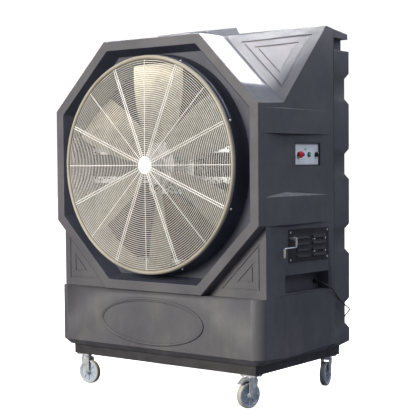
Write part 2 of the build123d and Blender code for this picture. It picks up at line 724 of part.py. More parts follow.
def facet_rod(radius, x0, x1, y, z):
    """Cylinder square to the side face, in its local frame."""
    return SIDE_FACE * Pos((x0 + x1) / 2, y, z) * Rot(0, 90, 0) * Cylinder(radius, x1 - x0)


def control_rod(radius, x0, x1, y, z):
    """Cylinder square to the control plate, measured from its face."""
    return facet_rod(radius, x0 - CONTROL["sink"], x1 - CONTROL["sink"], y, z)


def control_box():
    """Box let into the side, open to the front round the sunk control plate."""
    c = CONTROL
    shell = box(-c["depth"], 0, c["y0"], c["y1"], c["z0"], c["z1"])
    shell -= box(-c["depth"] + 3, 1, c["y0"] + 3, c["y1"] - 3, c["z0"] + 3, c["z1"] - 3)
    return SIDE_FACE * shell


def control_plate():
    """Plate that carries the buttons, the knob and the lamp."""
    c = CONTROL
    plate = CONTROL_FACE * box(-3, 0, c["y0"] + 3, c["y1"] - 3, c["z0"] + 3, c["z1"] - 3)
    for y, radius in BUTTONS.values():
        plate -= control_rod(radius + 0.1, -10, 10, y, CONTROL_Z)
    return plate - control_rod(LAMP[2], -10, 10, LAMP[0], LAMP[1])


def button_collars():
    """Rings that clamp the buttons and knob to the plate."""
    rings = []
    for name, (y, radius) in BUTTONS.items():
        outer = dict(stop=16, blue=13, start=15, knob=14)[name]
        ring = control_rod(outer, 0, 5, y, CONTROL_Z) - control_rod(radius + 0.1, -1, 10, y, CONTROL_Z)
        rings.append(ring)
    return rings


def stop_button():
    """Mushroom-headed stop button."""
    y, radius = BUTTONS["stop"]
    return control_rod(radius, -18, 16, y, CONTROL_Z) + control_rod(20, 12, 24, y, CONTROL_Z)


def push_button(name, proud):
    """Plain round button that stands proud of the plate."""
    y, radius = BUTTONS[name]
    return control_rod(radius, -18, proud, y, CONTROL_Z)


def selector_knob():
    """Round knob with a grip bar."""
    y, radius = BUTTONS["knob"]
    grip = CONTROL_FACE * box(9, 20, y - 4, y + 4, CONTROL_Z - 14, CONTROL_Z + 14)
    return control_rod(radius, -18, 7, y, CONTROL_Z) + control_rod(14, 6, 11, y, CONTROL_Z) + grip


def pilot_lamp():
    """Small lamp above the buttons."""
    y, z, radius = LAMP
    return control_rod(radius, -12, 3, y, z)


# ---------------------------------------------------------------- water system
INLET_Y = FRONT_Y + 766
INLET_Z = 396
INLET_R = 13.2
DRAIN_R = 14
DRAIN_Z = 135


def water_inlet():
    """Threaded hose tail through the left wall, with its flange and inside nut."""
    body = rod_x(INLET_R, -822, -750, INLET_Y, INLET_Z)
    body += rod_x(20, -788, -HALF_WIDTH, INLET_Y, INLET_Z)
    body += rod_x(19, -HALF_WIDTH + WALL, -762, INLET_Y, INLET_Z)
    return body - rod_x(8, -830, -740, INLET_Y, INLET_Z)


def drain_plug():
    """Screwed plug low on the tank's left wall."""
    plug = rod_x(DRAIN_R, -790, -765, INLET_Y, DRAIN_Z)
    return plug + rod_x(20, -796, -HALF_WIDTH, INLET_Y, DRAIN_Z)


def float_valve():
    """Valve body behind the inlet, with two ears for the arm's pin."""
    body = rod_x(14, -750, -728, INLET_Y, INLET_Z)
    for y in (INLET_Y - 10, INLET_Y + 6):
        body += box(-740, -716, y, y + 4, INLET_Z - 24, INLET_Z - 8)
    pin_hole = rod_y(2 + RUNNING, INLET_Y - 20, INLET_Y + 20, -722, INLET_Z - 18)
    return body - pin_hole


def float_arm():
    """Pin, arm and float ball."""
    arm = rod_y(2, INLET_Y - 12, INLET_Y + 12, -722, INLET_Z - 18)
    arm += rod_y(5, INLET_Y - 5, INLET_Y + 5, -722, INLET_Z - 18)
    arm += rod_x(2.5, -722, -530, INLET_Y, INLET_Z - 18)
    return arm + Pos(-520, INLET_Y - 25, INLET_Z - 30) * Sphere(44)


PUMP_X = 560
PUMP_Y = FRONT_Y + 640


def pump():
    """Submersible pump standing on the tank floor."""
    x, y, floor = PUMP_X, PUMP_Y, BASE_TOP + WALL
    body = rod_z(52, floor, floor + 90, x, y) + rod_z(38, floor + 90, floor + 128, x, y)
    return body + rod_z(12, floor + 128, floor + 150, x, y)


def riser_hose():
    """Hose from the pump, up beside the pads and into the end of the spray header."""
    x, y, top = PUMP_X, PUMP_Y, BASE_TOP + WALL + 150
    rise_x, rise_y = 664, SEAM_Y - 45
    path = FilletPolyline(
        (x, y, top), (x, y, 345), (rise_x, rise_y, 430), (rise_x, rise_y, HEADER_Z),
        (rise_x, HEADER_Y, HEADER_Z), (HEADER_END - 8, HEADER_Y, HEADER_Z), radius=30,
    )
    start = Plane(origin=path @ 0, z_dir=path % 0)
    return sweep(start * Circle(8.9), path=path) - sweep(start * Circle(6.5), path=path)


HEADER_Y = FRONT_Y + 878
HEADER_Z = 1918
HEADER_END = 622


def spray_header():
    """Perforated pipe over the pads, closed at its far end."""
    pipe = rod_x(16, -HEADER_END, HEADER_END, HEADER_Y, HEADER_Z)
    bore = rod_x(13, -HEADER_END + 4, HEADER_END - 4, HEADER_Y, HEADER_Z)
    pipe = pipe - bore - rod_x(9, 600, 630, HEADER_Y, HEADER_Z)
    for k in range(12):
        pipe -= rod_z(2, HEADER_Z - 20, HEADER_Z, -550 + 100 * k, HEADER_Y)
    return pipe


def cooling_pads():
    """Four cellulose pads side by side."""
    width = 2 * PAD_HALF / 4
    pads = []
    for k in range(4):
        x = -PAD_HALF + k * width
        pads.append(box(x + 1, x + width - 1, SEAM_Y + 30, SEAM_Y + 125, PAD_Z0, PAD_Z1))
    return pads


def pad_tray():
    """Gutter under the pads that drains over the tank's rear wall."""
    z0, z1 = PAD_Z0 - 30, PAD_Z0
    tray = box(-650, 650, SEAM_Y - 30, SEAM_Y + 132, z0, z1)
    return tray - box(-647, 647, SEAM_Y - 40, SEAM_Y + 129, z0 + 3, z1 + 1) + tray_ribs(z0, z1)


def tray_ribs(z0, z1):
    """Four ribs that stiffen the tray."""
    ribs = None
    for x in (-480, -160, 160, 480):
        rib = box(x - 2, x + 2, SEAM_Y + 20, SEAM_Y + 130, z0 + 2, z1)
        ribs = rib if ribs is None else ribs + rib
    return ribs


def pad_grille():
    """Frame and bars that hold the pads in from behind."""
    y0 = SEAM_Y + 127
    frame = box(-652, 652, y0 + 6, y0 + 12, PAD_Z0, PAD_Z1 + 12)
    frame -= box(-605, 605, y0, y0 + 20, PAD_Z0 + 40, PAD_Z1 - 30)
    for k in range(19):
        x = -585 + 65 * k
        frame += box(x - 2, x + 2, y0 + 8, y0 + 12, PAD_Z0 + 30, PAD_Z1 - 20)
    for k in range(13):
        z = PAD_Z0 + 100 + 98 * k
        frame += box(-610, 610, y0 + 5, y0 + 9, z - 2, z + 2)
    return frame


# ---------------------------------------------------------------- power cord
GLAND_Y = FRONT_Y + 690
GLAND_Z = 492
CORD_R = 4


def cord_gland():
    """Strain relief in the back wall of the right-hand pocket."""
    x = HALF_WIDTH - POCKET["depth"]
    gland = rod_x(11, x - WALL - 6, x + 4, GLAND_Y, GLAND_Z) + rod_x(15, x, x + 14, GLAND_Y, GLAND_Z)
    return gland - rod_x(CORD_R + 1.5, x - 30, x + 30, GLAND_Y, GLAND_Z)


def power_cord():
    """Cord out of the pocket, down along the side and round the back, with its plug."""
    x = HALF_WIDTH - POCKET["depth"]
    out = HALF_WIDTH + CORD_R + 4
    behind = BACK_Y + CORD_R + 7
    path = Spline(
        [(x - 12, GLAND_Y, GLAND_Z), (x + 16, GLAND_Y, GLAND_Z), (out, GLAND_Y + 32, GLAND_Z - 32),
         (out + 1, SEAM_Y + 10, 400), (out + 1, SEAM_Y + 90, 340), (out + 1, BACK_Y - 16, 292),
         (out - 34, behind + 3, 266), (650, behind + 2, 222), (628, behind, 150)],
        tangents=[(1, 0, 0), (0, 0, -1)],
    )
    cord = sweep(Plane(origin=path @ 0, z_dir=path % 0) * Circle(CORD_R), path=path)
    plug = rod_z(13, 96, 150, 628, behind + 4)
    for dy in (-7, 7):
        plug += rod_z(2.4, 78, 100, 628, behind + 4 + dy)
    return [cord, plug]


# ---------------------------------------------------------------- castors
CASTER_X = 645
CASTER_SPOTS = [
    (-CASTER_X, FRONT_Y + 112), (CASTER_X, FRONT_Y + 112),
    (-CASTER_X, FRONT_Y + 930), (CASTER_X, FRONT_Y + 930),
]
CASTER_NAMES = ["front_left", "front_right", "rear_left", "rear_right"]
CASTER_TURNS = [95, -15, 200, 14]
BRAKED = ["front_right", "rear_left"]
PLATE_HOLE_X, PLATE_HOLE_Y, PLATE_HOLE_R = 80, 60, 4.5
TRAIL = 24
AXLE_Z = WHEEL_R - CASTER_H
AXLE_R = 6
WHEEL_HALF = 18


def caster_plate(x, y):
    """Top plate, upper bearing race and king pin."""
    plate = box(x - 52, x + 52, y - 42, y + 42, -6, PAD_T)
    plate = fillet(plate.edges().filter_by(Axis.Z), 8)
    for dx in (-PLATE_HOLE_X / 2, PLATE_HOLE_X / 2):
        for dy in (-PLATE_HOLE_Y / 2, PLATE_HOLE_Y / 2):
            plate -= rod_z(PLATE_HOLE_R, -10, PAD_T + 1, x + dx, y + dy)
    race = rod_z(27, -13, -6, x, y) + rod_z(7, -30, -6, x, y) + rod_z(11, -33, -28.1, x, y)
    return plate + race


def caster_bolts():
    """Four bolts through each castor plate into the base frame."""
    bolts = []
    for x, y in CASTER_SPOTS:
        for dx in (-PLATE_HOLE_X / 2, PLATE_HOLE_X / 2):
            for dy in (-PLATE_HOLE_Y / 2, PLATE_HOLE_Y / 2):
                head = rod_z(7.5, -11, -6, x + dx, y + dy)
                bolts.append(head + rod_z(PLATE_HOLE_R, -6, 22, x + dx, y + dy))
    return bolts


def caster_fork():
    """Pressed fork in its own frame: swivel axis on Z, wheel trailing towards -Y."""
    fork = rod_z(31, -28, -13.1, 0, 0)
    fork += box(-28, 28, -34, 24, -28, -23)
    for side in (-1, 1):
        x0, x1 = (24, 28) if side > 0 else (-28, -24)
        outline = [(-36, -23), (26, -23), (22, -50), (-TRAIL + 13, AXLE_Z - 6), (-TRAIL - 13, AXLE_Z - 6)]
        outline.append((-36, -48))
        leg = ConvexPolyhedron([(x, y, z) for x in (x0, x1) for y, z in outline])
        fork += leg + rod_x(14, x0, x1, -TRAIL, AXLE_Z)
    fork -= rod_z(7 + RUNNING, -40, 0, 0, 0)
    return fork - rod_x(AXLE_R, -40, 40, -TRAIL, AXLE_Z)


def caster_axle():
    """Axle with a head at each end."""
    axle = rod_x(AXLE_R, -34, 34, -TRAIL, AXLE_Z)
    return axle + rod_x(10, 28, 34, -TRAIL, AXLE_Z) + rod_x(10, -34, -28, -TRAIL, AXLE_Z)


def caster_wheel():
    """Ribbed disc and the tread round it."""
    disc = rod_x(WHEEL_R - 9, -WHEEL_HALF + 3, WHEEL_HALF - 3, 0, 0)
    for side in (-1, 1):
        x0, x1 = sorted((side * 9, side * WHEEL_HALF))
        disc -= rod_x(58, x0, x1, 0, 0)
        hub_end = side * 23.5
        disc += rod_x(17, min(0, hub_end), max(0, hub_end), 0, 0)
    disc -= rod_x(AXLE_R + RUNNING, -40, 40, 0, 0)
    tread = rod_x(WHEEL_R, -WHEEL_HALF, WHEEL_HALF, 0, 0)
    tread = fillet(tread.edges().filter_by(GeomType.CIRCLE), 7)
    tread -= rod_x(WHEEL_R - 9, -30, 30, 0, 0)
    return [Pos(0, -TRAIL, AXLE_Z) * part for part in (disc, tread)]


BRAKE_PIVOT = (-44, -22)


def brake_pedal():
    """Foot pedal on a pivot pin behind the fork, sloping down over the tread."""
    y, z = BRAKE_PIVOT
    pedal = ConvexPolyhedron(
        [(x, y + dy, z + dz) for x in (-17, 17) for dy, dz in
         ((2, 6), (-14, 7), (-16, 1), (-46, -20), (-44, -24), (-2, -3))]
    )
    pedal += rod_x(5, -19, 19, y, z)
    return pedal


def brake_ears():
    """Ears that carry the pedal's pivot on a braked fork."""
    y, z = BRAKE_PIVOT
    ears = None
    for x0, x1 in ((-24, -20), (20, 24)):
        ear = box(x0, x1, y - 6, -20, z - 7, z + 7) + rod_x(7, x0, x1, y, z)
        ears = ear if ears is None else ears + ear
    return ears


# ---------------------------------------------------------------- write the nodes
blades = fan_blades()
ring = venturi_ring()
casing = main_casing()
for hole in screw_holes():
    casing -= hole
plate = service_plate()
for hole in screw_holes():
    plate -= hole
bolts = vent_bolts()
for bolt in bolts:
    plate -= bolt

save("front_shroud", front_shroud())
save("main_casing", casing)
save("rear_frame", rear_frame())
save("water_tank", water_tank())
save("base_frame", base_frame())
save("roof_cover", roof_cover())
save("venturi_ring", ring)
save("guard_rings", *guard_rings())
save("guard_spokes", *guard_spokes())
save("guard_disc", guard_disc())
save("guard_screws", *guard_screws())
save("fan_blades", *blades)
save("fan_hub", fan_hub(blades))
save("fan_shaft", rod_y(SHAFT_R, FRONT_Y + 40, FRONT_Y + 330, 0, FAN_Z))
save("fan_pulley", pulley(FAN_GROOVE_R, SHAFT_R, 0, FAN_Z))
save("shaft_bearings", *shaft_bearings())
save("fan_frame", fan_frame())
save("drive_belt", drive_belt())
save("motor_pulley", pulley(MOTOR_GROOVE_R, MOTOR_SHAFT_R, MOTOR_X, MOTOR_Z))
save("motor_shaft", motor_shaft())
save("motor_body", motor_body())
save("motor_base", motor_base())
save("cross_beams", *cross_beams())
save("tension_screw", tension_screw())
save("crank_handle", *crank_handle())
save("service_plate", plate)
save("plate_screws", *plate_screws())
save("vent_bolts", *bolts)
save("control_box", control_box())
save("control_plate", control_plate())
save("button_collars", *button_collars())
save("stop_button", stop_button())
save("blue_button", push_button("blue", 9))
save("start_button", push_button("start", 8))
save("selector_knob", selector_knob())
save("pilot_lamp", pilot_lamp())
save("water_inlet", water_inlet())
save("drain_plug", drain_plug())
save("float_valve", float_valve())
save("float_arm", float_arm())
save("pump", pump())
save("riser_hose", riser_hose())
save("spray_header", spray_header())
save("cooling_pads", *cooling_pads())
save("pad_tray", pad_tray())
save("pad_grille", pad_grille())
save("cord_gland", cord_gland())
save("power_cord", *power_cord())
save("caster_plates", *[caster_plate(x, y) for x, y in CASTER_SPOTS])
save("caster_bolts", *caster_bolts())

fork = caster_fork()
for name, (x, y), turn in zip(CASTER_NAMES, CASTER_SPOTS, CASTER_TURNS):
    place = Pos(x, y, 0) * Rot(0, 0, turn)
    braked = name in BRAKED
    save("fork_" + name, place * (fork + brake_ears() if braked else fork), place * caster_axle())
    save("wheel_" + name, *[place * part for part in caster_wheel()])
    if braked:
        save("brake_" + name, place * brake_pedal())
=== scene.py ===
"""Looks of the wheeled evaporative cooler: materials, fine shapes, studio and camera."""
import json
import math

import bmesh
import bpy
from mathutils import Matrix, Vector


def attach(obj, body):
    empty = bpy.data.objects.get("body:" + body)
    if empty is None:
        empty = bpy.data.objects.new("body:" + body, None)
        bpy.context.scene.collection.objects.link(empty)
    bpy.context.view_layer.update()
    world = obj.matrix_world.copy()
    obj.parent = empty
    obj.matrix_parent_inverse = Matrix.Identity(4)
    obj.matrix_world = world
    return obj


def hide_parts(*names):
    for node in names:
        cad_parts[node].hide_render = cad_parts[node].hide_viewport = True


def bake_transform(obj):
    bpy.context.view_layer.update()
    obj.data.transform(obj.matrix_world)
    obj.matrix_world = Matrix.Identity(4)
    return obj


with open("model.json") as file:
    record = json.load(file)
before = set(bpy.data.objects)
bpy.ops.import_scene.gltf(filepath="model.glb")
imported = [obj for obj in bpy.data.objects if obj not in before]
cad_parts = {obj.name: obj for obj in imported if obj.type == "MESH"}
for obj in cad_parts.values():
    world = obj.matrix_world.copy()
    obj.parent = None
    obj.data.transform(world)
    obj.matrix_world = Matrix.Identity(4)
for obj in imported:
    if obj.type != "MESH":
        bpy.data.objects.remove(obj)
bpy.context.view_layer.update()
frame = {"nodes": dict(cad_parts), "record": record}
nodes = frame["nodes"]
scene = bpy.context.scene
MM = 0.001

# Main positions of the model, in metres
FRONT_Y = -0.525
SEAM_Y = 0.275
FAN_Z = 1.198
GUARD_Y = FRONT_Y - 0.044
FLOOR_Z = -0.190

# Castors: place of the king pin and turn in degrees about it
CASTER_X = 0.645
CASTER_FRONT_Y = FRONT_Y + 0.112
CASTER_REAR_Y = FRONT_Y + 0.930
CASTERS = {
    "front_left": (-CASTER_X, CASTER_FRONT_Y, 95),
    "front_right": (CASTER_X, CASTER_FRONT_Y, -15),
    "rear_left": (-CASTER_X, CASTER_REAR_Y, 200),
    "rear_right": (CASTER_X, CASTER_REAR_Y, 14),
}
TRAIL = 0.024
AXLE_Z = -0.115

# The right side face leans in plan; the controls sit SINK below it
FACE_LEAN = math.atan2(25, 426)
SIDE_FACE = Matrix.Translation((0.7675, FRONT_Y + 0.522, 0)) @ Matrix.Rotation(-FACE_LEAN, 4, "Z")
CONTROL_Z = 1.255
SINK = -0.012
STOP_Y, BLUE_Y, START_Y, KNOB_Y = -0.068, -0.033, 0.033, 0.102
LAMP_Y, LAMP_Z = -0.006, 1.286


# ---------------------------------------------------------------- materials
def linear(rgb):
    """sRGB 0-255 to linear RGBA."""
    out = []
    for value in rgb:
        v = value / 255
        out.append(v / 12.92 if v <= 0.04045 else ((v + 0.055) / 1.055) ** 2.4)
    return (*out, 1.0)


class Surface:
    """A procedural material made up step by step; object coordinates are metres."""

    def __init__(self, name):
        self.mat = bpy.data.materials.new(name)
        self.mat.use_nodes = True
        self.tree = self.mat.node_tree
        self.tree.nodes.clear()
        self.out = self.add("ShaderNodeOutputMaterial")
        self.bsdf = self.add("ShaderNodeBsdfPrincipled")
        self.link(self.bsdf.outputs[0], self.out.inputs[0])
        self.coord = self.add("ShaderNodeTexCoord").outputs["Object"]
        self.relief = None

    def add(self, kind, **values):
        """New node with its settings."""
        node = self.tree.nodes.new(kind)
        for key, value in values.items():
            setattr(node, key, value)
        return node

    def link(self, a, b):
        self.tree.links.new(a, b)

    def stretched(self, scale):
        """Coordinates scaled along each axis."""
        node = self.add("ShaderNodeMapping")
        node.inputs["Scale"].default_value = scale
        self.link(self.coord, node.inputs["Vector"])
        return node.outputs[0]

    def noise(self, scale, detail=4.0, stretch=None, rough=0.55):
        """Cloudy value about 0.5, with this many features per metre."""
        node = self.add("ShaderNodeTexNoise")
        node.inputs["Scale"].default_value = scale
        node.inputs["Detail"].default_value = detail
        node.inputs["Roughness"].default_value = rough
        self.link(self.stretched(stretch) if stretch else self.coord, node.inputs["Vector"])
        return node.outputs["Fac"]

    def cells(self, scale):
        """One random value for each cell, with this many cells per metre."""
        node = self.add("ShaderNodeTexVoronoi")
        node.inputs["Scale"].default_value = scale
        self.link(self.coord, node.inputs["Vector"])
        grey = self.add("ShaderNodeRGBToBW")
        self.link(node.outputs["Color"], grey.inputs[0])
        return grey.outputs[0]

    def ramp(self, value, low, high, a=0.0, b=1.0):
        """Value stretched from low..high to a..b and clamped."""
        node = self.add("ShaderNodeMapRange")
        for key, number in zip(("From Min", "From Max", "To Min", "To Max"), (low, high, a, b)):
            node.inputs[key].default_value = number
        self.link(value, node.inputs["Value"])
        return node.outputs[0]

    def mix(self, factor, a, b):
        """Colour between a and b."""
        node = self.add("ShaderNodeMix", data_type="RGBA")
        self.link(factor, node.inputs["Factor"])
        for key, colour in (("A", a), ("B", b)):
            socket = [s for s in node.inputs if s.name == key and s.type == "RGBA"][0]
            if isinstance(colour, tuple):
                socket.default_value = colour
            else:
                self.link(colour, socket)
        return [s for s in node.outputs if s.type == "RGBA"][0]

    def bump(self, value, strength, distance):
        """Adds relief on top of what is there."""
        node = self.add("ShaderNodeBump")
        node.inputs["Strength"].default_value = strength
        node.inputs["Distance"].default_value = distance
        self.link(value, node.inputs["Height"])
        if self.relief is not None:
            self.link(self.relief, node.inputs["Normal"])
        self.relief = node.outputs[0]
        self.link(self.relief, self.bsdf.inputs["Normal"])

    def place_along(self, axis):
        """Coordinate along one axis."""
        node = self.add("ShaderNodeSeparateXYZ")
        self.link(self.coord, node.inputs[0])
        return node.outputs[axis]

    def colour(self, value):
        """Base colour from a node."""
        self.link(value, self.bsdf.inputs["Base Color"])

    def set(self, **values):
        """Other inputs of the surface, from numbers or nodes."""
        for key, value in values.items():
            if isinstance(value, float):
                self.bsdf.inputs[key].default_value = value
            else:
                self.link(value, self.bsdf.inputs[key])


def moulded(name, dark, light, rough, dust=0.0):
    """Rotomoulded plastic: cloudy tone, fine grain, slight orange peel, dust low down."""
    s = Surface(name)
    cloud = s.ramp(s.noise(3.5, 5), 0.35, 0.65)
    base = s.mix(cloud, linear(dark), linear(light))
    speck = s.ramp(s.noise(420, 2), 0.62, 0.75)
    base = s.mix(s.ramp(speck, 0, 1, 0, 0.25), base, linear([min(255, c + 50) for c in light]))
    if dust:
        low = s.ramp(s.place_along(2), 0.55, 0.0)
        streak = s.ramp(s.noise(9, 6, (1, 1, 0.25)), 0.48, 0.70)
        amount = s.add("ShaderNodeMath", operation="MULTIPLY")
        s.link(low, amount.inputs[0])
        s.link(streak, amount.inputs[1])
        base = s.mix(s.ramp(amount.outputs[0], 0, 1, 0, dust), base, linear((150, 143, 130)))
    s.colour(base)
    s.set(Roughness=s.ramp(s.noise(16, 4), 0.3, 0.7, *rough))
    s.bump(s.noise(38, 3), 0.12, 0.002)
    s.bump(s.noise(650, 2), 0.30, 0.0006)
    return s.mat


def painted(name, colour, rough, chips=0.0, spread=14):
    """Paint or plain plastic with a faint mottling, fine texture and worn specks."""
    s = Surface(name)
    low = tuple(max(0, c - spread) for c in colour)
    base = s.mix(s.ramp(s.noise(14, 5), 0.35, 0.65), linear(low), linear(colour))
    if chips:
        worn = s.ramp(s.noise(130, 5, rough=0.7), 0.66, 0.72)
        base = s.mix(s.ramp(worn, 0, 1, 0, chips), base, linear((120, 116, 110)))
    s.colour(base)
    s.set(Roughness=s.ramp(s.noise(30, 4), 0.3, 0.7, rough - 0.06, rough + 0.08))
    s.bump(s.noise(300, 3), 0.15, 0.0004)
    return s.mat


def metal(name, dark, light, rough=(0.25, 0.45), stretch=(1, 1, 1), spangle=0.0, grain=90, shine=0.92):
    """Bare metal with brushing along the stretched axis, or zinc spangle."""
    s = Surface(name)
    tone = s.cells(spangle) if spangle else s.noise(grain, 5, stretch)
    base = s.mix(s.ramp(tone, 0.3, 0.7), linear(dark), linear(light))
    tarnish = s.ramp(s.noise(7, 6), 0.55, 0.75, 0, 0.35)
    base = s.mix(tarnish, base, linear([int(c * 0.72) for c in dark]))
    s.colour(base)
    s.set(Metallic=shine, Roughness=s.ramp(tone, 0.3, 0.7, *rough))
    s.bump(s.noise(grain * 4, 3, stretch), 0.10, 0.0003)
    return s.mat


def cellulose(name):
    """Resin-stiffened paper, wetter and browner in places."""
    s = Surface(name)
    base = s.mix(s.ramp(s.noise(120, 4), 0.35, 0.65), linear((84, 54, 40)), linear((112, 78, 58)))
    wet = s.ramp(s.noise(2.2, 4, (1, 1, 0.4)), 0.50, 0.66, 0, 0.55)
    base = s.mix(wet, base, linear((62, 26, 20)))
    s.colour(base)
    s.set(Roughness=0.85)
    s.bump(s.noise(500, 3), 0.4, 0.0006)
    return s.mat


MATERIALS = {
    "shell_plastic": moulded("shell_plastic", (62, 63, 69), (74, 74, 79), rough=(0.58, 0.70), dust=0.18),
    "ring_plastic": moulded("ring_plastic", (128, 124, 113), (146, 142, 130), rough=(0.35, 0.5)),
    "guard_wire": painted("guard_wire", (228, 229, 226), 0.32, chips=0.25),
    "white_metal": painted("white_metal", (250, 250, 248), 0.30, spread=6),
    "galvanised": metal("galvanised", (160, 165, 168), (205, 208, 210), spangle=85),
    "blade_metal": metal(
        "blade_metal", (112, 110, 102), (146, 142, 126), rough=(0.34, 0.46), grain=30, shine=0.7
    ),
    "cast_alloy": metal("cast_alloy", (130, 132, 134), (165, 167, 168), rough=(0.45, 0.6)),
    "steel": metal("steel", (120, 122, 125), (175, 177, 180), stretch=(1, 0.05, 1)),
    "cast_iron": painted("cast_iron", (84, 88, 93), 0.55, chips=0.4),
    "belt_rubber": painted("belt_rubber", (26, 26, 27), 0.62, spread=8),
    "motor_paint": painted("motor_paint", (66, 80, 96), 0.42, chips=0.3),
    "crank_metal": painted("crank_metal", (186, 184, 176), 0.38, chips=0.35),
    "zinc": metal("zinc", (165, 172, 176), (215, 219, 222), rough=(0.26, 0.40), grain=60, shine=0.6),
    "dark_plastic": painted("dark_plastic", (34, 34, 36), 0.38, spread=8),
    "plate_grey": painted("plate_grey", (226, 232, 232), 0.42, spread=10),
    "red_button": painted("red_button", (214, 32, 26), 0.18, spread=20),
    "blue_button": painted("blue_button", (38, 74, 214), 0.2, spread=12),
    "green_button": painted("green_button", (36, 200, 150), 0.2, spread=16),
    "lamp_green": painted("lamp_green", (40, 190, 90), 0.12, spread=16),
    "brass": metal("brass", (160, 122, 62), (205, 168, 96), rough=(0.28, 0.42)),
    "white_plastic": painted("white_plastic", (220, 220, 216), 0.4),
    "pad_cellulose": cellulose("pad_cellulose"),
    "caster_wheel": painted("caster_wheel", (162, 174, 188), 0.45, chips=0.2),
    "frame_paint": painted("frame_paint", (44, 44, 47), 0.5, chips=0.4),
}
# Painted shade: darker plastic for the shaded inside of the octagon's recess and the fan mouth's outer flare
RECESS_SHADE = moulded("recess_painted_shade", (40, 44, 56), (52, 56, 70), rough=(0.5, 0.62))
TREAD = painted("tread_rubber", (168, 167, 163), 0.6, chips=0.3)
SLOT_OF = {row["node"]: row["material_slot"] for row in frame["record"]["subparts"]}


# ---------------------------------------------------------------- mesh kit
class Shape:
    """Vertices and faces gathered for one piece, in the row frame."""

    def __init__(self):
        self.verts = []
        self.faces = []
        self.slots = []
        self.slot = 0

    def grid(self, rows, closed_rows=False, closed_cols=False):
        """Quads over a list of equally long rows of points."""
        start = len(self.verts)
        count = len(rows[0])
        for row in rows:
            self.verts += [tuple(p) for p in row]
        for i in range(len(rows) if closed_rows else len(rows) - 1):
            a, b = start + i * count, start + (i + 1) % len(rows) * count
            for j in range(count if closed_cols else count - 1):
                k = (j + 1) % count
                self.faces.append((a + j, a + k, b + k, b + j))
                self.slots.append(self.slot)
        return self

    def cap(self, points, flip=False):
        """One flat face over a closed line of points."""
        start = len(self.verts)
        self.verts += [tuple(p) for p in points]
        loop = list(range(start, start + len(points)))
        self.faces.append(tuple(reversed(loop)) if flip else tuple(loop))
        self.slots.append(self.slot)

    def lathe(self, profile, matrix, segments=64, closed=False):
        """Turned shape; the profile is (radius, height) and the axis is the matrix's Z."""
        rows = []
        for k in range(segments):
            a = 2 * math.pi * k / segments
            c, s = math.cos(a), math.sin(a)
            rows.append([matrix @ Vector((r * c, r * s, h)) for r, h in profile])
        if closed:
            rows = [row + row[:1] for row in rows]
        self.grid(rows, closed_rows=True)
        return self

    def tube(self, points, radius, sides, closed=False):
        """Round bar along a line of points."""
        pts = [Vector(p) for p in points]
        n = len(pts)
        rows = []
        normal = None
        for i, p in enumerate(pts):
            before = pts[(i - 1) % n] if closed or i else p
            after = pts[(i + 1) % n] if closed or i < n - 1 else p
            tangent = (after - before).normalized()
            if normal is None:
                normal = tangent.orthogonal().normalized()
            normal = (normal - tangent * normal.dot(tangent)).normalized()
            side = tangent.cross(normal)
            rows.append([
                p + (normal * math.cos(a) + side * math.sin(a)) * radius
                for a in (2 * math.pi * k / sides for k in range(sides))
            ])
        self.grid(rows, closed_rows=closed, closed_cols=True)
        if not closed:
            self.cap(rows[0], flip=True)
            self.cap(rows[-1])
        return self

    def block(self, lo, hi, matrix=Matrix.Identity(4)):
        """Six-sided block between two corners of the matrix's frame."""
        start = len(self.verts)
        for z in (lo[2], hi[2]):
            for x, y in ((lo[0], lo[1]), (hi[0], lo[1]), (hi[0], hi[1]), (lo[0], hi[1])):
                self.verts.append(tuple(matrix @ Vector((x, y, z))))
        for f in ((3, 2, 1, 0), (4, 5, 6, 7), (0, 1, 5, 4), (1, 2, 6, 5), (2, 3, 7, 6), (3, 0, 4, 7)):
            self.faces.append(tuple(start + i for i in f))
            self.slots.append(self.slot)
        return self


def piece(name, shape, materials, body="root", stands_for=(), angle=35):
    """Mesh object from a shape, sharp above the angle, riding on a body unless that is None."""
    mesh = bpy.data.meshes.new(name)
    mesh.from_pydata(shape.verts, [], shape.faces)
    for mat in materials:
        mesh.materials.append(mat)
    mesh.polygons.foreach_set("material_index", shape.slots)
    bm = bmesh.new()
    bm.from_mesh(mesh)
    bmesh.ops.remove_doubles(bm, verts=bm.verts, dist=1e-6)
    bmesh.ops.recalc_face_normals(bm, faces=bm.faces)
    bm.to_mesh(mesh)
    bm.free()
    obj = bpy.data.objects.new(name, mesh)
    scene.collection.objects.link(obj)
    smooth(mesh)
    mesh.set_sharp_from_angle(angle=math.radians(angle))
    if body:
        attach(obj, body)
    if stands_for:
        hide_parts(*stands_for)
    return obj


def smooth(mesh):
    """Smooth shading on every face."""
    mesh.polygons.foreach_set("use_smooth", [True] * len(mesh.polygons))


def soften(obj, bevel):
    """Smooth shading with the edges above 35 degrees rounded."""
    smooth(obj.data)
    edge = obj.modifiers.new("bevel", "BEVEL")
    edge.width = bevel
    edge.segments = 2
    edge.limit_method = "ANGLE"
    edge.angle_limit = math.radians(35)
    edge.use_clamp_overlap = True
    normals = obj.modifiers.new("normals", "WEIGHTED_NORMAL")
    normals.keep_sharp = False
    normals.weight = 90


# Distance within which an edge still lies in a plane
IN_PLANE = 0.0004


def weigh_edges(obj, angle, skip_planes):
    """Marks the edges to round: above the angle and in none of the skipped planes (axis, place)."""
    mesh = obj.data
    key = [tuple(round(c, 5) for c in v.co) for v in mesh.vertices]
    beside = {}
    for face in mesh.polygons:
        for pair in face.edge_keys:
            beside.setdefault(frozenset((key[pair[0]], key[pair[1]])), []).append(face.normal)
    weights = mesh.attributes.new("bevel_weight_edge", "FLOAT", "EDGE")
    limit = math.cos(math.radians(angle))
    for edge in mesh.edges:
        ends = [key[i] for i in edge.vertices]
        if any(all(abs(end[axis] - place) < IN_PLANE for end in ends) for axis, place in skip_planes):
            continue
        normals = beside.get(frozenset(ends), [])
        if len(normals) > 1 and min(a.dot(b) for a in normals for b in normals) < limit:
            weights.data[edge.index].value = 1.0


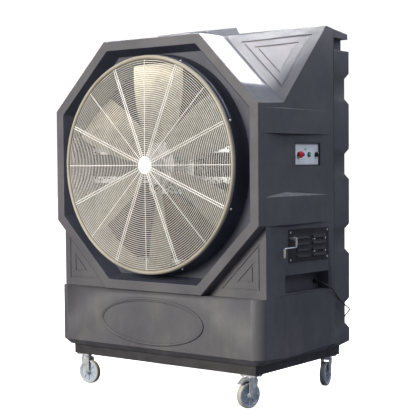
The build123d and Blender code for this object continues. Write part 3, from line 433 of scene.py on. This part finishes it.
def drop_normals(mesh):
    """Removes the imported normals, so that the rounded edges shade by their own."""
    for name in ("custom_normal", "sharp_edge", "sharp_face"):
        if name in mesh.attributes:
            mesh.attributes.remove(mesh.attributes[name])


# ---------------------------------------------------------------- CAD pieces that stay
# Radius of the rounded edges
BEVELS = {
    "front_shroud": 0.006, "main_casing": 0.006, "rear_frame": 0.007, "water_tank": 0.006,
    "roof_cover": 0.008, "base_frame": 0.004, "service_plate": 0.0006, "control_plate": 0.001,
    "control_box": 0.001, "fan_frame": 0.002, "motor_body": 0.002, "motor_base": 0.001,
    "cross_beams": 0.002, "fan_hub": 0.002, "drain_plug": 0.002, "pump": 0.004,
}
# Planes where two pieces meet flush, whose edges stay sharp
SKIPPED_PLANES = {
    "front_shroud": [(1, FRONT_Y + 0.030)],
    "main_casing": [(1, FRONT_Y + 0.030), (2, 0.440)],
    "water_tank": [(2, 0.440)],
}
for name, obj in nodes.items():
    obj.data.materials.clear()
    obj.data.materials.append(MATERIALS[SLOT_OF[name]])
    drop_normals(obj.data)
    weld = obj.modifiers.new("weld", "WELD")
    weld.merge_threshold = 0.00005
    if name in SKIPPED_PLANES:
        weigh_edges(obj, 30, SKIPPED_PLANES[name])
        soften(obj, BEVELS[name])
        obj.modifiers["bevel"].limit_method = "WEIGHT"
    elif name in BEVELS:
        soften(obj, BEVELS[name])
    else:
        smooth(obj.data)
        split = obj.modifiers.new("edges", "EDGE_SPLIT")
        split.split_angle = math.radians(32)

nodes["fan_blades"].data.materials[0] = MATERIALS["blade_metal"]

# The octagon's recess is painted darker than its face: painted shade inside the recess
RECESS_HALF_X, RECESS_HALF_Z, RECESS_CORNER = 0.735, 0.710, 1.065
shroud = nodes["front_shroud"].data
shroud.materials.append(RECESS_SHADE)
for face in shroud.polygons:
    x, y, z = face.center
    rise = abs(z - FAN_Z)
    inside = abs(x) < RECESS_HALF_X and rise < RECESS_HALF_Z and abs(x) + rise < RECESS_CORNER
    if y > FRONT_Y + 0.001 and inside:
        face.material_index = 1


# ---------------------------------------------------------------- fan mouth and guard
# TO_FRONT turns a lathe's axis to the fan's, pointing forwards
TO_FRONT = Matrix.Translation((0, 0, FAN_Z)) @ Matrix.Rotation(math.pi / 2, 4, "X")
GUARD_R = 0.622
GUARD_BOW = 0.006
FIRST_RING_R = 0.0535
RING_PITCH = 0.0125
RING_COUNT = 46
RING_WIRE_R = 0.0016
SPOKE_WIRE_R = 0.0020
PAIRED_WIRE_R = 0.0024
PAIR_HALF = 0.007
SPOKE_OUT = 0.0036
SCREW_CIRCLE_R = 0.6496


def bulge(radius):
    """Forward bow of the guard at a distance from the fan axis."""
    return GUARD_BOW * (1 - (radius / GUARD_R) ** 2)


def fan_point(radius, angle, y, across=0.0):
    """Point at a polar place round the fan axis, angle from straight up."""
    c, s = math.cos(angle), math.sin(angle)
    return (radius * s + across * c, y, FAN_Z + radius * c - across * s)


def lip_profile():
    """Section of the fan mouth as (radius, distance in front of the plane y = 0)."""
    front = -FRONT_Y
    outer = [(0.6482, front + 0.030), (0.6485, front + 0.038)]
    lip = []
    for k in range(9):
        a = math.pi * k / 8
        lip.append((0.636 + 0.012 * math.cos(a), front + 0.040 + 0.0145 * math.sin(a)))
    inner = [(0.623, 0.030), (0.6195, 0.010), (0.617, -0.012), (0.616, -0.060), (0.616, -0.150)]
    back = [(0.619, -0.150), (0.619, -0.011), (0.627, 0.036), (0.636, 0.044), (0.645, 0.034)]
    back += [(0.647, -0.030), (0.650, -0.064), (0.657, -0.089)]
    return outer + lip + [(r, front + h) for r, h in inner + back]


mouth = Shape().lathe(lip_profile(), TO_FRONT, 192)
# The mouth's outer flare takes the darker recess plastic as painted shade
mouth.slot = 1
flare = [(0.661, -0.090), (0.657, -0.078), (0.653, -0.060), (0.6505, -0.030), (0.6495, 0), (0.6484, 0.030)]
mouth.lathe([(r, -FRONT_Y + h) for r, h in flare], TO_FRONT, 192)
piece("fan_mouth", mouth, [MATERIALS["ring_plastic"], RECESS_SHADE],
      stands_for=["venturi_ring"], angle=50)

rings = Shape()
for i in range(RING_COUNT):
    radius = FIRST_RING_R + RING_PITCH * i
    turns = 72 if radius < 0.2 else 144
    y = GUARD_Y - bulge(radius)
    line = [fan_point(radius, 2 * math.pi * k / turns, y) for k in range(turns)]
    rings.tube(line, RING_WIRE_R, 6, closed=True)
piece("guard_ring_wires", rings, [MATERIALS["guard_wire"]], stands_for=["guard_rings"])

spokes = Shape()
for k in range(8):
    for turn, offsets in ((45 * k, (0,)), (45 * k + 22.5, (-PAIR_HALF, PAIR_HALF))):
        for across in offsets:
            angle = math.radians(turn)
            reach = [0.030 + 0.0395 * i for i in range(15)]
            line = [fan_point(r, angle, GUARD_Y - SPOKE_OUT - bulge(r), across) for r in reach]
            line += [fan_point(r, angle, GUARD_Y + dy, across)
                     for r, dy in ((0.612, -0.0034), (0.6205, -0.001), (0.6225, 0.006))]
            spokes.tube(line, PAIRED_WIRE_R if across else SPOKE_WIRE_R, 8)
piece("guard_spoke_wires", spokes, [MATERIALS["guard_wire"]], stands_for=["guard_spokes"])

disc = Shape()
disc_front = -GUARD_Y + GUARD_BOW + 0.0056
profile = [(0.0, 0.0065), (0.015, 0.0062), (0.030, 0.0052), (0.042, 0.0035), (0.047, 0.0022)]
profile += [(0.0495, 0.0), (0.0500, -0.003), (0.0485, -0.0045), (0.030, -0.0045), (0.0, -0.0045)]
disc.lathe([(r, disc_front + h) for r, h in profile], TO_FRONT, 96)
piece("guard_centre_disc", disc, [MATERIALS["white_metal"]],
      stands_for=["guard_disc"], angle=60)

# Screw metal, and a darker material for the crosses as painted shade of their recesses
SCREW_METAL_AND_RECESS_SHADE = [MATERIALS["zinc"], MATERIALS["cast_iron"]]


def screw_head(shape, matrix, radius, height):
    """Domed head with a dark cross standing in for the cross recess as painted shade, its axis along the
    matrix's Z.
    """
    rim = [(0.0, height), (radius * 0.5, height * 0.96), (radius * 0.8, height * 0.75)]
    rim += [(radius * 0.96, height * 0.4), (radius, 0.0), (radius * 0.98, -0.0003), (0.0, -0.0003)]
    shape.lathe(rim, matrix, 24)
    arm, half = radius * 0.55, radius * 0.11
    # The cross is painted dark: painted shade of the recess
    shape.slot = 1
    shape.block((-arm, -half, height * 0.90), (arm, half, height * 1.03), matrix)
    shape.block((-half, -arm, height * 0.90), (half, arm, height * 1.03), matrix)
    shape.slot = 0


ring_screws = Shape()
for k in range(8):
    angle = math.radians(45 * k + 22.5)
    turn = Matrix.Translation((0, FRONT_Y - 0.016, FAN_Z)) @ Matrix.Rotation(angle, 4, "Y")
    seat = turn @ Matrix.Translation((0, 0, SCREW_CIRCLE_R))
    ring_screws.lathe([(0.0, 0.002), (0.0075, 0.002), (0.0082, 0.0015), (0.0082, 0), (0, 0)], seat, 24)
    screw_head(ring_screws, seat @ Matrix.Translation((0, 0, 0.002)), 0.0060, 0.006)
piece("ring_screw_heads", ring_screws, SCREW_METAL_AND_RECESS_SHADE, stands_for=["guard_screws"])

OVAL_X, OVAL_Y, OVAL_Z = -0.020, FRONT_Y + 0.0085, 0.262
OVAL_HALF_X, OVAL_HALF_Z = 0.394, 0.136
oval = Shape()
turns = 160
for grow, r in ((0.0, 0.0075), (-0.010, 0.0045)):
    line = [
        (OVAL_X + (OVAL_HALF_X + grow) * math.cos(2 * math.pi * i / turns), OVAL_Y,
         OVAL_Z + (OVAL_HALF_Z + grow) * math.sin(2 * math.pi * i / turns))
        for i in range(turns)
    ]
    oval.tube(line, r, 12, closed=True)
piece("tank_oval_rim", oval, [MATERIALS["shell_plastic"]])


# ---------------------------------------------------------------- castors
def caster_matrix(name):
    """Frame of a castor's fork, at its king pin."""
    x, y, turn = CASTERS[name]
    return Matrix.Translation((x, y, 0)) @ Matrix.Rotation(math.radians(turn), 4, "Z")


def wheel(name):
    """Ribbed disc with a hub, and a crowned tread."""
    axle = caster_matrix(name) @ Matrix.Translation((0, -TRAIL, AXLE_Z))
    hub = axle @ Matrix.Rotation(math.pi / 2, 4, "Y")
    shape = Shape()
    half = [(0.0062, 0.0235), (0.0150, 0.0235), (0.0168, 0.0222), (0.0172, 0.0120), (0.0190, 0.0095)]
    half += [(0.0540, 0.0085), (0.0565, 0.0105), (0.0580, 0.0150), (0.0600, 0.0158), (0.0658, 0.0158)]
    loop = half + [(r, -h) for r, h in reversed(half)]
    shape.lathe(loop, hub, 72, closed=True)
    for k in range(8):
        spin = hub @ Matrix.Rotation(math.pi * k / 4, 4, "Z")
        for z0, z1 in ((0.0080, 0.0135), (-0.0135, -0.0080)):
            shape.block((0.016, -0.0018, z0), (0.058, 0.0018, z1), spin)
    shape.slot = 1
    tread = [(0.0655, 0.0160), (0.0680, 0.0178), (0.0705, 0.0172), (0.0735, 0.0145), (0.0746, 0.0100)]
    tread += [(0.0750, 0.0045), (0.0742, 0.0035), (0.0742, 0.0022), (0.0750, 0.0012)]
    shape.lathe(tread + [(r, -h) for r, h in reversed(tread)], hub, 96, closed=True)
    piece("rolling_" + name, shape, [MATERIALS["caster_wheel"], TREAD],
          "roller_" + name, stands_for=["wheel_" + name], angle=40)


for name in CASTERS:
    wheel(name)


# ---------------------------------------------------------------- pads and rear grille
PADS_WIDTH = 1.272
PAD_GAP = 0.004
PAD_Z0, PAD_Z1 = 0.477, 1.867
PAD_Y0, PAD_Y1 = SEAM_Y + 0.031, SEAM_Y + 0.124
SHEET_PITCH = 0.0078
FLUTE = 0.015
OVERRUN = 0.05


def pad_block(index):
    """Cellulose sheets whose flutes cross at opposite slants."""
    width = PADS_WIDTH / 4
    x0 = -PADS_WIDTH / 2 + index * width + PAD_GAP / 2
    sheets = int((width - PAD_GAP) / SHEET_PITCH) + 1
    steps = int((PAD_Z1 - PAD_Z0 + 2 * OVERRUN) / (FLUTE / 2))
    shape = Shape()
    for k in range(sheets):
        slant = 0.045 if k % 2 else -0.028
        rows = []
        for i in range(steps + 1):
            z = PAD_Z0 - OVERRUN + i * FLUTE / 2
            x = x0 + k * SHEET_PITCH + (SHEET_PITCH / 2 if i % 2 else -SHEET_PITCH / 2) * 0.94
            x = min(max(x, x0), x0 + width - PAD_GAP)
            rows.append([
                (x, y, min(max(z + dz, PAD_Z0), PAD_Z1)) for y, dz in ((PAD_Y0, -slant), (PAD_Y1, slant))
            ])
        shape.grid(rows)
    piece(f"pad_sheets_{index + 1}", shape, [MATERIALS["pad_cellulose"]],
          stands_for=["cooling_pads"] if index == 0 else ())


for index in range(4):
    pad_block(index)

GRILLE_Y = SEAM_Y + 0.127
GRILLE_HALF_X = 0.612
GRILLE_Z0, GRILLE_Z1 = 0.500, 1.848
GRILLE_RIM_R, GRILLE_WIRE_R = 0.005, 0.0021
UPRIGHTS, FIRST_UPRIGHT_X, UPRIGHT_PITCH = 19, -0.585, 0.065
LEVELS, FIRST_LEVEL_Z, LEVEL_PITCH = 13, 0.576, 0.098


def grille_bar(shape, start, end, out, radius, sides):
    """Bar between two (x, z) places, set out from the grille's plane."""
    shape.tube([(x, GRILLE_Y + out, z) for x, z in (start, end)], radius, sides)


grille = Shape()
for z in (GRILLE_Z0, GRILLE_Z1):
    grille_bar(grille, (-GRILLE_HALF_X, z), (GRILLE_HALF_X, z), 0.006, GRILLE_RIM_R, 10)
for x in (-GRILLE_HALF_X, GRILLE_HALF_X):
    grille_bar(grille, (x, GRILLE_Z0), (x, GRILLE_Z1), 0.006, GRILLE_RIM_R, 10)
for k in range(UPRIGHTS):
    x = FIRST_UPRIGHT_X + UPRIGHT_PITCH * k
    grille_bar(grille, (x, GRILLE_Z0), (x, GRILLE_Z1), 0.009, GRILLE_WIRE_R, 8)
for k in range(LEVELS):
    z = FIRST_LEVEL_Z + LEVEL_PITCH * k
    grille_bar(grille, (-GRILLE_HALF_X, z), (GRILLE_HALF_X, z), 0.0055, GRILLE_WIRE_R, 8)
piece("rear_pad_grille", grille, [MATERIALS["galvanised"]], stands_for=["pad_grille"])


# ---------------------------------------------------------------- controls and side plate
def facet(x, y, z):
    """Frame on the side face with Z outwards."""
    return SIDE_FACE @ Matrix.Translation((x, y, z)) @ Matrix.Rotation(math.pi / 2, 4, "Y")


def button(name, body, y, profile, slot, node):
    """Turned button; the profile is (radius, height above the plate) in millimetres."""
    shape = Shape().lathe([(r * MM, h * MM) for r, h in profile], facet(SINK, y, CONTROL_Z), 48)
    piece(name, shape, [MATERIALS[slot]], body, stands_for=[node], angle=50)


button("stop_mushroom", "stop", STOP_Y,
       [(0, 21), (7, 20.8), (13, 20), (17, 18.6), (19.3, 16.8), (20, 14.8), (19.6, 13.2), (17.5, 12.2),
        (9.5, 11.8), (8, 11), (8, -18), (0, -18)], "red_button", "stop_button")
button("blue_push", "blue", BLUE_Y,
       [(0, 13.0), (5, 12.8), (8, 12.2), (9.3, 11), (9.5, 9.4), (7, 8.6), (7, -18), (0, -18)],
       "blue_button", "blue_button")
button("start_push", "start", START_Y,
       [(0, 8.6), (5, 8.4), (7.8, 7.8), (8.8, 6.6), (9, 5), (9, -18), (0, -18)],
       "green_button", "start_button")

knob = Shape()
knob_at = facet(SINK, KNOB_Y, CONTROL_Z)
knob_side = ((0, 11), (11, 11), (13.2, 10.4), (14, 9), (14, 6.8), (13, 6), (8, 6), (8, -18), (0, -18))
knob.lathe([(r * MM, h * MM) for r, h in knob_side], knob_at, 48)
half_grip = [(-0.0135, 0.0100), (-0.0115, 0.0185), (-0.006, 0.0200)]
grip = half_grip + [(-a, h) for a, h in reversed(half_grip)]
grip_rows = [[knob_at @ Vector((a, side, h)) for a, h in grip] for side in (-0.004, -0.0034, 0.0034, 0.004)]
knob.grid(grip_rows)
knob.cap(grip_rows[0])
knob.cap(grip_rows[-1], flip=True)
knob.slot = 1
knob.block((-0.0125, -0.0007, 0.0196), (-0.002, 0.0007, 0.0203), knob_at)
piece("selector_grip", knob, [MATERIALS["dark_plastic"], MATERIALS["white_metal"]],
      "selector", stands_for=["selector_knob"], angle=45)

lens = [(0, 0.0052), (0.002, 0.0048), (0.004, 0.0034), (0.005, 0.0012), (0.005, -0.012), (0, -0.012)]
lamp = Shape().lathe(lens, facet(SINK, LAMP_Y, LAMP_Z), 32)
piece("lamp_lens", lamp, [MATERIALS["lamp_green"]], stands_for=["pilot_lamp"], angle=60)

collars = Shape()
for y, outer, inner in ((STOP_Y, 16, 8.2), (BLUE_Y, 13, 7.2), (START_Y, 15, 9.2), (KNOB_Y, 14, 8.2)):
    ring = [(inner, 0), (inner, 4.6), (inner + 0.6, 5), (outer - 1.6, 5)]
    ring += [(outer - 0.4, 4.2), (outer, 2.8), (outer, 0)]
    collars.lathe([(r * MM, h * MM) for r, h in ring], facet(SINK, y, CONTROL_Z), 48, closed=True)
piece("button_bezels", collars, [MATERIALS["dark_plastic"]], stands_for=["button_collars"])

plate_heads = Shape()
for y in (-0.172, 0.198):
    for z in (0.641, 0.802):
        screw_head(plate_heads, facet(0.002, y, z), 0.006, 0.0035)
piece("plate_screw_heads", plate_heads, SCREW_METAL_AND_RECESS_SHADE, stands_for=["plate_screws"])

vent_heads = Shape()
for y in (0.050, 0.163):
    for z in (0.681, 0.754):
        screw_head(vent_heads, facet(0.012, y, z), 0.0048, 0.005)
        vent_heads.lathe([(0.0044, 0.013), (0.0044, -0.002), (0, -0.002)], facet(0, y, z), 20)
piece("vent_bolt_heads", vent_heads, SCREW_METAL_AND_RECESS_SHADE, stands_for=["vent_bolts"])


# ---------------------------------------------------------------- drive belt
FAN_GROOVE_R, MOTOR_GROOVE_R = 0.138, 0.034
fan_centre = Vector((0, FRONT_Y + 0.242, FAN_Z))
MOTOR_X, MOTOR_Z = 0.590, 0.722
span = Vector((MOTOR_X, 0, MOTOR_Z - FAN_Z))
along_belt = span.normalized()
over_belt = Vector((-along_belt.z, 0, along_belt.x))
half_section = [(0.0003, -0.0044), (0.0080, -0.0060), (0.0098, -0.0055)]
belt_section = half_section + [(h, -side) for h, side in reversed(half_section)]


def belt_row(centre, radius, angle):
    """Cross-section of the belt where it leaves a pulley at an angle."""
    out = along_belt * math.cos(angle) + over_belt * math.sin(angle)
    return [centre + out * (radius + h) + Vector((0, side, 0)) for h, side in belt_section]


leave = math.pi / 2 - math.asin((FAN_GROOVE_R - MOTOR_GROOVE_R) / span.length)
motor_centre = fan_centre + span
wrap = 2 * math.pi - 2 * leave
fan_arc = [belt_row(fan_centre, FAN_GROOVE_R, leave + wrap * i / 48) for i in range(49)]
motor_arc = [belt_row(motor_centre, MOTOR_GROOVE_R, -leave + 2 * leave * i / 24) for i in range(25)]


def run(first, last, steps=24):
    """Rows strictly between two rows, for a straight run of the belt."""
    return [[a.lerp(b, i / steps) for a, b in zip(first, last)] for i in range(1, steps)]


belt_rows = fan_arc + run(fan_arc[-1], motor_arc[0]) + motor_arc + run(motor_arc[-1], fan_arc[0])
belt_shape = Shape().grid(belt_rows, closed_rows=True, closed_cols=True)
belt = piece("drive_belt_loop", belt_shape, [MATERIALS["belt_rubber"]], None,
             stands_for=["drive_belt"], angle=40)
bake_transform(belt)


# ---------------------------------------------------------------- crank
KNUCKLE = Vector((0.798, FRONT_Y + 0.352, 0.768))


def bent(points, radius, steps=6):
    """Line of points with its corners rounded."""
    pts = [Vector(p) for p in points]
    line = [pts[0]]
    for a, b, c in zip(pts, pts[1:], pts[2:]):
        u, v = (a - b).normalized(), (c - b).normalized()
        start, end = b + u * radius, b + v * radius
        for k in range(steps + 1):
            t = k / steps
            line.append(start * (1 - t) ** 2 + b * 2 * t * (1 - t) + end * t ** 2)
    return line + [pts[-1]]


def below(point, drop):
    """Point straight under another."""
    return point - Vector((0, 0, drop))


CRANK_DROP, CRANK_ARM, CRANK_GRIP = 0.050, 0.122, 0.054
crank = Shape()
low = below(KNUCKLE, CRANK_DROP)
grip_top = low - Vector((0, CRANK_ARM, 0))
crank.tube(bent([KNUCKLE, low, grip_top, below(grip_top, CRANK_GRIP)], 0.010), 0.0032, 12)
knuckle_pin = Matrix.Translation(KNUCKLE) @ Matrix.Rotation(math.pi / 2, 4, "X")
crank.lathe([(0.003, -0.0045), (0.005, -0.0042), (0.005, 0.0042), (0.003, 0.0045)],
            knuckle_pin, 24, closed=True)
crank.lathe([(0, -0.009), (0.003, -0.009), (0.003, 0.009), (0, 0.009)], knuckle_pin, 20)
crank.slot = 1
for top, height in ((below(KNUCKLE, 0.011), 0.034), (below(grip_top, 0.004), 0.048)):
    sleeve = [(0.0034, 0), (0.0058, 0), (0.0065, -0.0012)]
    sleeve += [(0.0065, -height + 0.0012), (0.0058, -height), (0.0034, -height)]
    crank.lathe(sleeve, Matrix.Translation(top), 28, closed=True)
piece("crank_rod", crank, [MATERIALS["zinc"], MATERIALS["crank_metal"]], "crank",
      stands_for=["crank_handle"], angle=45)


# ---------------------------------------------------------------- studio and camera
def area_light(name, place, aim, size, power, colour):
    """Rectangular lamp at a place, turned to an aim."""
    data = bpy.data.lights.new(name, "AREA")
    data.shape = "RECTANGLE"
    data.size, data.size_y = size
    data.energy = power
    data.color = colour
    lamp = bpy.data.objects.new(name, data)
    lamp.location = place
    lamp.rotation_euler = (Vector(aim) - Vector(place)).to_track_quat("-Z", "Y").to_euler()
    scene.collection.objects.link(lamp)
    return lamp


area_light("warm_front", (-1.0, -7.6, 3.2), (0, 0, 1.0), (3.4, 3.4), 1060, (1.0, 0.925, 0.83))
area_light("side_sky", (5.4, 1.4, 4.6), (0.8, 0, 1.3), (4.0, 3.0), 130, (0.82, 0.86, 1.0))
area_light("sky_top", (0.6, 0.6, 6.2), (0, 0, 1.0), (4.0, 4.0), 300, (0.88, 0.92, 1.0))
area_light("sky_back", (0.2, 5.2, 4.8), (0.3, 0, 1.9), (5.0, 2.6), 260, (0.90, 0.94, 1.0))

# Two collimated beams, on the roof and on the front's upper bevel; their common right edge leaves
# the lower end of the slope and the machine's right side in shade
BEAM_X, BEAM_Z = -0.176, 2.0
BEAM_WIDTH = 1.8
to_sun = Vector((0.312, 0, 0.950)).normalized()
across = Vector((0.95, 0, -0.312)).normalized()
beam_turn = Matrix((across, to_sun.cross(across), to_sun)).transposed().to_4x4()
for name, y, depth, distance, power in (
    ("sun_roof", 0.09, 0.98, 5, 20),
    ("sun_bevel", -0.413, 0.21, 1.6, 27),
):
    beam = area_light(name, (0, 0, 5), (0, 0, 0), (BEAM_WIDTH, depth), power, (1.0, 0.97, 0.97))
    beam.data.spread = math.radians(2.0)
    place = Vector((BEAM_X, y, BEAM_Z)) + to_sun * distance
    beam.matrix_world = Matrix.Translation(place) @ beam_turn

# Pale floor that glows for the camera alone and bounces a darker grey
floor_lines = [-30 + 6 * i for i in range(11)]
floor_shape = Shape().grid([[(x, y, FLOOR_Z) for x in floor_lines] for y in floor_lines])
floor_mesh = bpy.data.meshes.new("floor")
floor_mesh.from_pydata(floor_shape.verts, [], floor_shape.faces)
floor = bpy.data.objects.new("floor", floor_mesh)
scene.collection.objects.link(floor)
floor_look = Surface("floor_look")
floor_look.colour(floor_look.mix(floor_look.noise(0.6, 3), linear((250, 250, 250)), linear((253, 253, 253))))
floor_look.set(Roughness=0.9)
glow = floor_look.add("ShaderNodeEmission")
glow.inputs["Strength"].default_value = 0.93
seen_by_camera = floor_look.add("ShaderNodeLightPath").outputs["Is Camera Ray"]
dim = floor_look.add("ShaderNodeMixShader")
soft = floor_look.add("ShaderNodeBsdfDiffuse")
soft.inputs["Color"].default_value = linear((110, 112, 118))
pair = floor_look.add("ShaderNodeAddShader")
floor_look.link(floor_look.bsdf.outputs[0], pair.inputs[0])
floor_look.link(glow.outputs[0], pair.inputs[1])
floor_look.link(seen_by_camera, dim.inputs[0])
floor_look.link(soft.outputs[0], dim.inputs[1])
floor_look.link(pair.outputs[0], dim.inputs[2])
floor_look.link(dim.outputs[0], floor_look.out.inputs[0])
floor_mesh.materials.append(floor_look.mat)

# White behind the machine for the camera, a bluish sky for everything else
world = bpy.data.worlds.new("studio")
scene.world = world
world.use_nodes = True
tree = world.node_tree
tree.nodes.clear()
world_out = tree.nodes.new("ShaderNodeOutputWorld")
seen = tree.nodes.new("ShaderNodeBackground")
seen.inputs["Color"].default_value = (1, 1, 1, 1)
seen.inputs["Strength"].default_value = 1.05
fill = tree.nodes.new("ShaderNodeBackground")
fill.inputs["Strength"].default_value = 0.42
direction = tree.nodes.new("ShaderNodeTexCoord")
axes = tree.nodes.new("ShaderNodeSeparateXYZ")
tree.links.new(direction.outputs["Generated"], axes.inputs[0])
sky = tree.nodes.new("ShaderNodeValToRGB")
sky.color_ramp.elements[0].position = 0.45
sky.color_ramp.elements[0].color = (0.47, 0.48, 0.58, 1)
sky.color_ramp.elements[1].position = 1.0
sky.color_ramp.elements[1].color = (1.0, 1.15, 1.35, 1)
tree.links.new(axes.outputs[2], sky.inputs[0])
tree.links.new(sky.outputs[0], fill.inputs["Color"])
path = tree.nodes.new("ShaderNodeLightPath")
both = tree.nodes.new("ShaderNodeMixShader")
tree.links.new(path.outputs["Is Camera Ray"], both.inputs[0])
tree.links.new(fill.outputs[0], both.inputs[1])
tree.links.new(seen.outputs[0], both.inputs[2])
tree.links.new(both.outputs[0], world_out.inputs[0])

scene.view_settings.view_transform = "Standard"
scene.view_settings.look = "None"

CAMERA_AT = (4.3525, -5.6486, 1.207)
yaw, pitch, roll = (math.radians(a) for a in (37.457, -2.264, -0.441))
forward = Vector((-math.sin(yaw) * math.cos(pitch), math.cos(yaw) * math.cos(pitch), math.sin(pitch)))
level = Vector((math.cos(yaw), math.sin(yaw), 0))
upward = level.cross(forward)
camera_x = level * math.cos(roll) + upward * math.sin(roll)
camera_y = upward * math.cos(roll) - level * math.sin(roll)
camera_data = bpy.data.cameras.new("camera")
camera_data.lens = 97.78
camera_data.sensor_width = 36
camera = bpy.data.objects.new("camera", camera_data)
camera_turn = Matrix((camera_x, camera_y, -forward)).transposed().to_4x4()
camera.matrix_world = Matrix.Translation(CAMERA_AT) @ camera_turn
scene.collection.objects.link(camera)
scene.camera = camera
